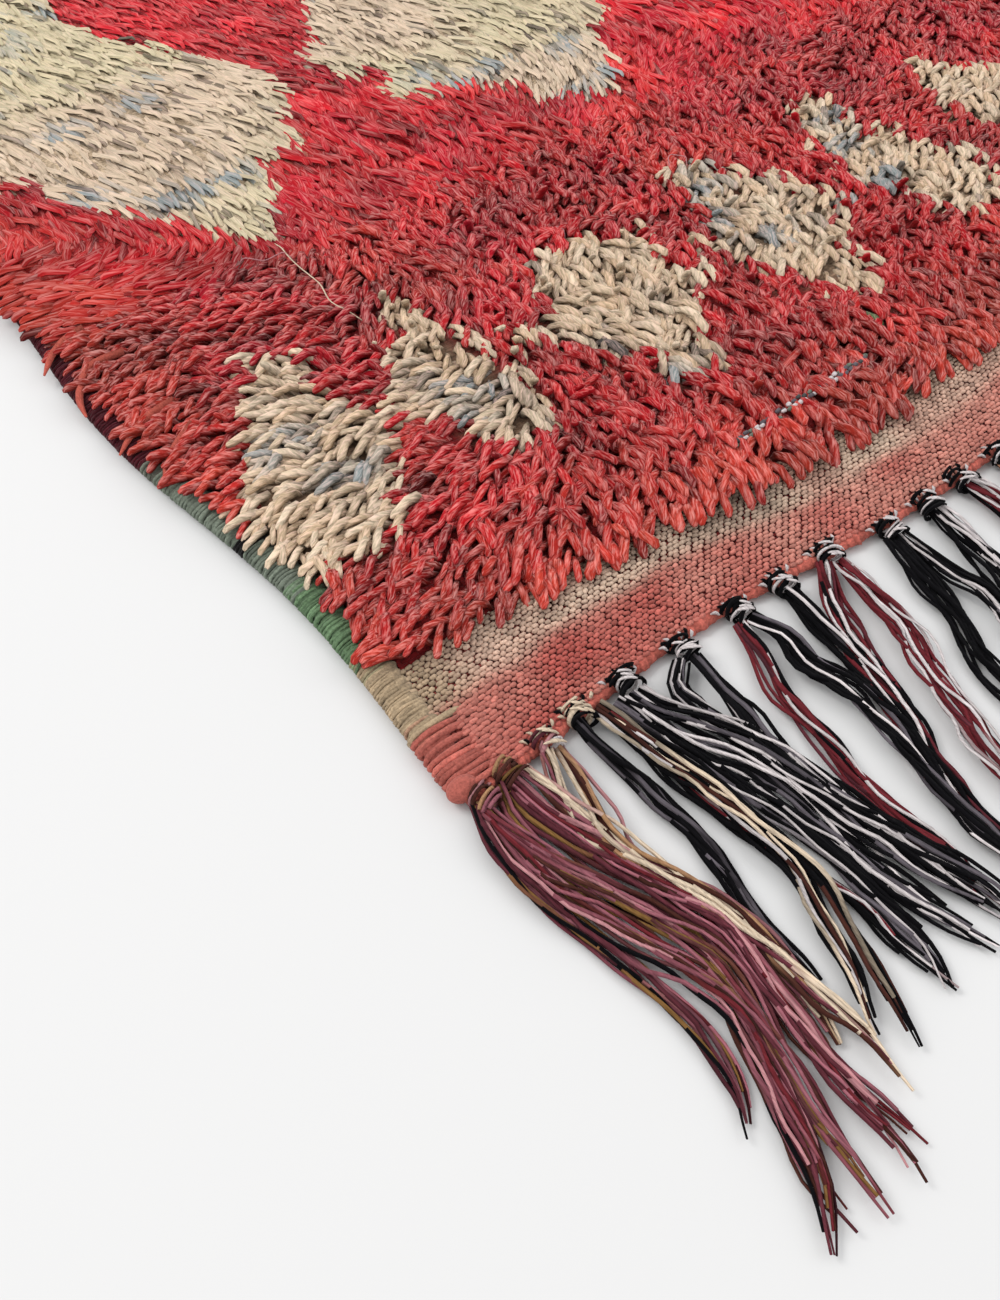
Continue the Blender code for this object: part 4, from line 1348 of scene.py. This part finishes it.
def knotYarns(lines, side, end, palette, draw, steps, slant):
    # Winds yarns round the root of a tassel, with strokes across it and grains fanned on the heading.
    x0, y0 = fromChart(side, end)
    u = np.linspace(0, 1, steps)
    for strand, name in enumerate(windings[palette]):
        turns = draw.uniform(1.3, 1.8)
        angle = 2 * math.pi * turns * u + draw.uniform(0, 6)
        radius = 0.0042 + 0.0006 * np.sin(angle * 0.7 + strand) + 0.0004 * draw.normal()
        out = (u - 0.5) * 0.0032 + (strand - 1.5) * 0.0023
        x = radius * np.cos(angle) * 1.1
        y = -out + 0.0011 * np.cos(angle + draw.uniform(0, 6))
        z = 0.0050 + radius * np.sin(angle) * 0.92
        turned = (x * math.cos(slant) - y * math.sin(slant), x * math.sin(slant) + y * math.cos(slant))
        path = np.stack([x0 + turned[0], y0 + turned[1], np.maximum(z, 0.0012)], 1)
        thick = yarn["fineRadius"] if name == "yarnWhite" else yarn["knotRadius"]
        lines.append((path, linear(name) * draw.uniform(0.75, 1.1), thick * (1 + 0.18 * np.sin(angle * 2.3))))
    if palette in ("pinkWind", "brownWind"):
        return
    pale = "yarnCream" if palette in ("sandWind", "creamWind") else "yarnWhite"
    v = np.linspace(0, 1, 5)
    for k in range(4):
        across = draw.uniform(-0.0030, 0.0020) + (v - 0.5) * draw.uniform(0.002, 0.005)
        ahead = draw.uniform(-0.005, 0.003) - (v - 0.5) * 0.0036
        z = 0.0056 + np.sqrt(np.maximum(0.0047**2 - across**2, 0))
        path = np.stack([x0 + across, y0 + ahead, z], 1)
        lines.append((path, linear(pale), 0.0006 * np.array([0.5, 1, 1, 1, 0.5])))
    for k in range(7):
        fan = (k - 3) * 0.24 + draw.normal(0, 0.1)
        far = draw.uniform(0.0055, 0.0085)
        ahead = far - 0.0034 * (1 - v)
        x = x0 + (k - 3) * 0.0012 + np.sin(fan) * ahead
        y = y0 + np.cos(fan) * ahead
        z = 0.0050 + 0.0012 * np.sin(v * math.pi)
        name = pale if k % 2 == 0 else "yarnBlack"
        lines.append((np.stack([x, y, z], 1), linear(name), 0.0008 * np.array([0.55, 1, 1.1, 0.9, 0.5])))


def yarnObject(name, lines, tree, sides, coat):
    mesh = bpy.data.meshes.new(name + "Lines")
    places = np.concatenate([p for p, _, _ in lines])
    edges, start = [], 0
    for path, _, _ in lines:
        edges += [(start + i, start + i + 1) for i in range(len(path) - 1)]
        start += len(path)
    mesh.from_pydata(places.tolist(), edges, [])
    tint = np.concatenate([np.broadcast_to(c, (len(p), 3)) for p, c, _ in lines])
    thick = np.concatenate([t for _, _, t in lines])
    setTint(mesh, np.clip(tint, 0, 1))
    layer = mesh.attributes.new("thick", "FLOAT", "POINT")
    layer.data.foreach_set("value", thick.astype(np.float32))
    piece = grown(name, mesh, tree, {"Sides": sides, "Material": coat})
    smooth(piece.data)
    return piece


def growFringe(tree, coat):
    draw = np.random.default_rng(71)
    near, far = [], []
    radius, steps = yarn["radius"], yarn["nearSteps"]
    for palette, width, level, count, way in nearLocks:
        lockYarns(near, palette, width, level, round(count * yarn["nearCount"]), way, steps, draw, radius)
    for side, end, palette in nearKnots:
        knotYarns(near, side, end, palette, draw, yarn["knotSteps"], draw.normal(0, 0.15))
    kinds = ["blackWhite", "blackWhite", "maroonWhite", "maroonMix", "black", "mauveSand"]
    side = nearKnots[-1][0] + 25
    while side < rug["width"] * 1000 - 8:
        end = -6 + waveAt(side)
        kind = draw.choice(kinds)
        for part in (-1, 1):
            x = side + part * 3.5
            lean = 10 * math.sin(side / 90.0)
            way = [
                (x, end),
                (x + part * 2 - 2 + lean * 0.2, end - 24),
                (x + part * 3 - 4 + lean * 0.5, end - 60),
                (x + part * 2 + lean + draw.normal(0, 3), end - 105),
                (x + lean * 0.8 + draw.normal(0, 4), end - draw.uniform(*yarn["farLength"])),
            ]
            width, count, steps = yarn["farWidth"], yarn["farCount"], yarn["farSteps"]
            lockYarns(far, kind, width, 0, count, way, steps, draw, radius * yarn["farThicker"])
        knotYarns(far, side, end + 3, "blackWhite", draw, yarn["farKnotSteps"], draw.normal(0, 0.15))
        side += draw.uniform(*yarn["apart"])
    pieces = [
        yarnObject("fringeNear", near, tree, 3, coat),
        yarnObject("fringeFar", far, tree, 3, coat),
    ]
    print("fringe", len(near), "near and", len(far), "far yarns")
    return pieces


# Locks that hang past the left edge.
edgeLocks = [
    [(26, 279), (18, 281), (10, 281), (2, 275), (-4, 266), (-6, 257)],
    [(26, 236), (17, 236), (8, 234), (1, 231), (-7, 226)],
    [(24, 218), (17, 214), (9, 209), (3, 204), (-1, 198)],
    [(20, 306), (10, 305), (1, 301), (-7, 294)],
]


def growStrays(tree, coat):
    # A few loose hairs and loops on top of the pile.
    draw = np.random.default_rng(91)
    strays = [
        ("yarnCream", 0.00034, 17.0, [
            (123, 305), (121, 294), (120, 283), (119, 261), (115, 244), (122, 229),
        ]),
        ("yarnPink", 0.0003, 17.0, [(101, 303), (105, 296), (109, 293), (116, 293), (123, 290)]),
        ("yarnPink", 0.00026, 15.5, [(318, 234), (321, 239), (326, 241), (330, 237), (328, 232)]),
        ("yarnPink", 0.00026, 15.5, [(226, 222), (229, 227), (234, 229), (237, 225), (235, 220)]),
    ]
    lines = []
    for way in edgeLocks:
        steps = 14
        flat = spline(way, steps)
        x, y = fromChart(flat[:, 0], flat[:, 1])
        u = np.linspace(0, 1, steps)
        z = np.interp(u, [0, 0.5, 1], [0.0120, 0.0100, 0.0060])
        # Painted shade: each lock is darker at its root, where it comes out from under the pile.
        shades = linear("edgeLock") * np.interp(u, [0, 0.3, 1], [0.55, 0.9, 1.05])[:, None]
        thick = 0.0024 * np.interp(u, [0, 0.4, 0.8, 1], [1, 1, 0.7, 0.25])
        lines.append((np.stack([x, y, z], 1), shades, thick))
    for name, thick, tall, way in strays:
        steps = len(way) * 4
        flat = spline(way, steps)
        x, y = fromChart(flat[:, 0], flat[:, 1])
        z = tall / 1000 + 0.0008 * np.sin(np.linspace(0, 9, steps) + draw.uniform(0, 6))
        ends = np.interp(np.linspace(0, 1, steps), [0, 0.12, 0.88, 1], [0.004, 0, 0, 0.004])
        lines.append((np.stack([x, y, z - ends], 1), linear(name), np.full(steps, thick)))
    return yarnObject("strayYarn", lines, tree, 4, coat)


headingSizes = {
    "points": 900,
    "sides": 6,
    "out": 0.0014,
    "wide": 0.0038,
    "tall": 0.0023,
    "middle": 0.0026,
}
cornerTurn = {"size": (0.0125, 0.0095, 0.0095), "place": (-0.4815, -0.7572, 0.0048)}


def growHeading(coat):
    # The soft coral heading between the last weft and the knots.
    draw = np.random.default_rng(81)
    count, sides = headingSizes["points"], headingSizes["sides"]
    across = np.linspace(-rug["width"] / 2 + 0.001, rug["width"] / 2 - 0.001, count)
    coarse = smoothNoise(across * 1000, across * 0, 5, 82) - 0.5
    fine = smoothNoise(across * 1000, across * 0, 1.6, 83) - 0.5
    lump = 1 + 0.32 * coarse + 0.20 * fine
    verts, tint = [], []
    streaks = draw.uniform(0.62, 1.26, count)
    for k, a in enumerate(across):
        fat = lump[k] * (1 + 0.25 * (streaks[k] - 0.94))
        for s in range(sides):
            phi = 2 * math.pi * s / sides
            y = -rug["length"] / 2 - headingSizes["out"] + headingSizes["wide"] * math.cos(phi) * fat
            verts.append((a, y, headingSizes["middle"] + headingSizes["tall"] * math.sin(phi) * lump[k]))
            tint.append(linear("heading") * draw.uniform(0.9, 1.1) * streaks[k])
    return rollObject("headingRoll", verts, tint, sides, coat)


def growCorner(coat):
    # The fat turn of yarn at the near left corner.
    shape = ellipsoidMesh("cornerTurn", *cornerTurn["size"], 18, 12)
    setTint(shape, linear("edgeCoral"))
    shape.materials.append(coat)
    shape.transform(Matrix.Translation(cornerTurn["place"]))
    return meshObject("cornerTurn", shape)


floorCoat = {"Base Color": (0.66, 0.66, 0.662, 1.0), "Roughness": 0.9, "Specular IOR Level": 0.1}


def makeFloor():
    bm = bmesh.new()
    bmesh.ops.create_grid(bm, x_segments=1, y_segments=1, size=6.0)
    mesh = bpy.data.meshes.new("floor")
    bm.to_mesh(mesh)
    bm.free()
    coat = bpy.data.materials.new("paleFloor")
    coat.use_nodes = True
    shader = coat.node_tree.nodes["Principled BSDF"]
    for key, value in floorCoat.items():
        shader.inputs[key].default_value = value
    mesh.materials.append(coat)
    floor = meshObject("floor", mesh)
    floor.location.z = -0.0004


# For each light its place, its target, its size, its power and its colour.
lights = {
    "key": ((-1.6, 0.9, 2.2), (-0.2, -0.4, 0), 1.4, 42, (1.0, 0.99, 0.97)),
    "fill": ((1.6, -2.2, 2.0), (-0.2, -0.5, 0), 2.0, 14, (0.98, 0.99, 1.0)),
}


def areaLight(name, place, target, size, power, colour):
    data = bpy.data.lights.new(name, "AREA")
    data.size = size
    data.energy = power
    data.color = colour
    lamp = bpy.data.objects.new(name, data)
    bpy.context.scene.collection.objects.link(lamp)
    lamp.location = place
    lamp.rotation_euler = (Vector(target) - Vector(place)).to_track_quat("-Z", "Y").to_euler()


def makeStudio():
    world = bpy.data.worlds.new("studio")
    world.use_nodes = True
    back = world.node_tree.nodes["Background"]
    back.inputs["Color"].default_value = (1.0, 1.0, 1.0, 1.0)
    back.inputs["Strength"].default_value = 0.98
    scene = bpy.context.scene
    scene.world = world
    scene.view_settings.view_transform = "Standard"
    for name, settings in lights.items():
        areaLight(name, *settings)
    data = bpy.data.cameras.new("view")
    data.lens = camera["lens"]
    data.sensor_width = camera["sensor"]
    data.sensor_fit = "AUTO"
    data.clip_start = 0.01
    eye = bpy.data.objects.new("view", data)
    scene.collection.objects.link(eye)
    eye.location = camera["place"]
    eye.rotation_euler = (math.radians(90 - camera["pitch"]), 0.0, -math.radians(camera["heading"]))
    scene.camera = eye


def main():
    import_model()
    makeFloor()
    makeStudio()
    print("stage set")
    shapes = [("Shapes", "NodeSocketCollection", None), ("Length", "NodeSocketFloat", 0.018)]
    tuftTree = growTree("RepeatShapes", shapes, repeatShapes)
    lineTree = growTree("YarnFromLines", [("Sides", "NodeSocketInt", 4)], roundLines)
    woolCoat = material("pileWool", yarnLook(pileWools["pileWool"]), 0.95, 0.03)
    softCoat = material("pileWoolSoft", yarnLook(pileWools["pileWoolSoft"]), 0.95, 0.04)
    beadCoat = material("bandWool", plainLook(plainWools["bandWool"]), 0.95, 0.1)
    groundCoat = material("groundWool", weaveLook, 0.95, 0.05)
    edgeCoat = material("edgeWool", plainLook(plainWools["edgeWool"]), 0.95, 0.1)
    fringeCoat = material("fringeYarn", plainLook(plainWools["fringeYarn"]), 0.9, 0.02)
    pieces = {"pile": growPile(tuftTree, woolCoat, softCoat)}
    pieces["ground"] = growGround(groundCoat)
    pieces["beads"] = growBeads(tuftTree, beadCoat)
    pieces["left"] = growEdge("edgeLeft", -1, edgeCoat, edge["out"])
    pieces["ribs"] = growRibs(lineTree, edgeCoat)
    pieces["right"] = growEdge("edgeRight", 1, edgeCoat, 0.0)
    pieces["heading"] = growHeading(edgeCoat)
    pieces["corner"] = growCorner(edgeCoat)
    pieces["strays"] = growStrays(lineTree, fringeCoat)
    pieces["fringe"] = growFringe(lineTree, fringeCoat)
    edges = [pieces[key] for key in ("left", "right", "heading", "corner", "ribs", "strays")]
    for piece in [pieces["ground"], pieces["beads"]] + edges + pieces["pile"] + pieces["fringe"]:
        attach(piece, "root")
    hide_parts("woven_rug")
    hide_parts("selvedge_left")
    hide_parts("selvedge_right")
    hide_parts("fringe")
    total = 0
    for obj in bpy.context.scene.objects:
        if obj.type == "MESH" and obj.get("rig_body") and not obj.get("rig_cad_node"):
            obj.data.calc_loop_triangles()
            count = len(obj.data.loop_triangles)
            total += count
            print("piece", obj.name, count)
    print("triangles", total)


main()
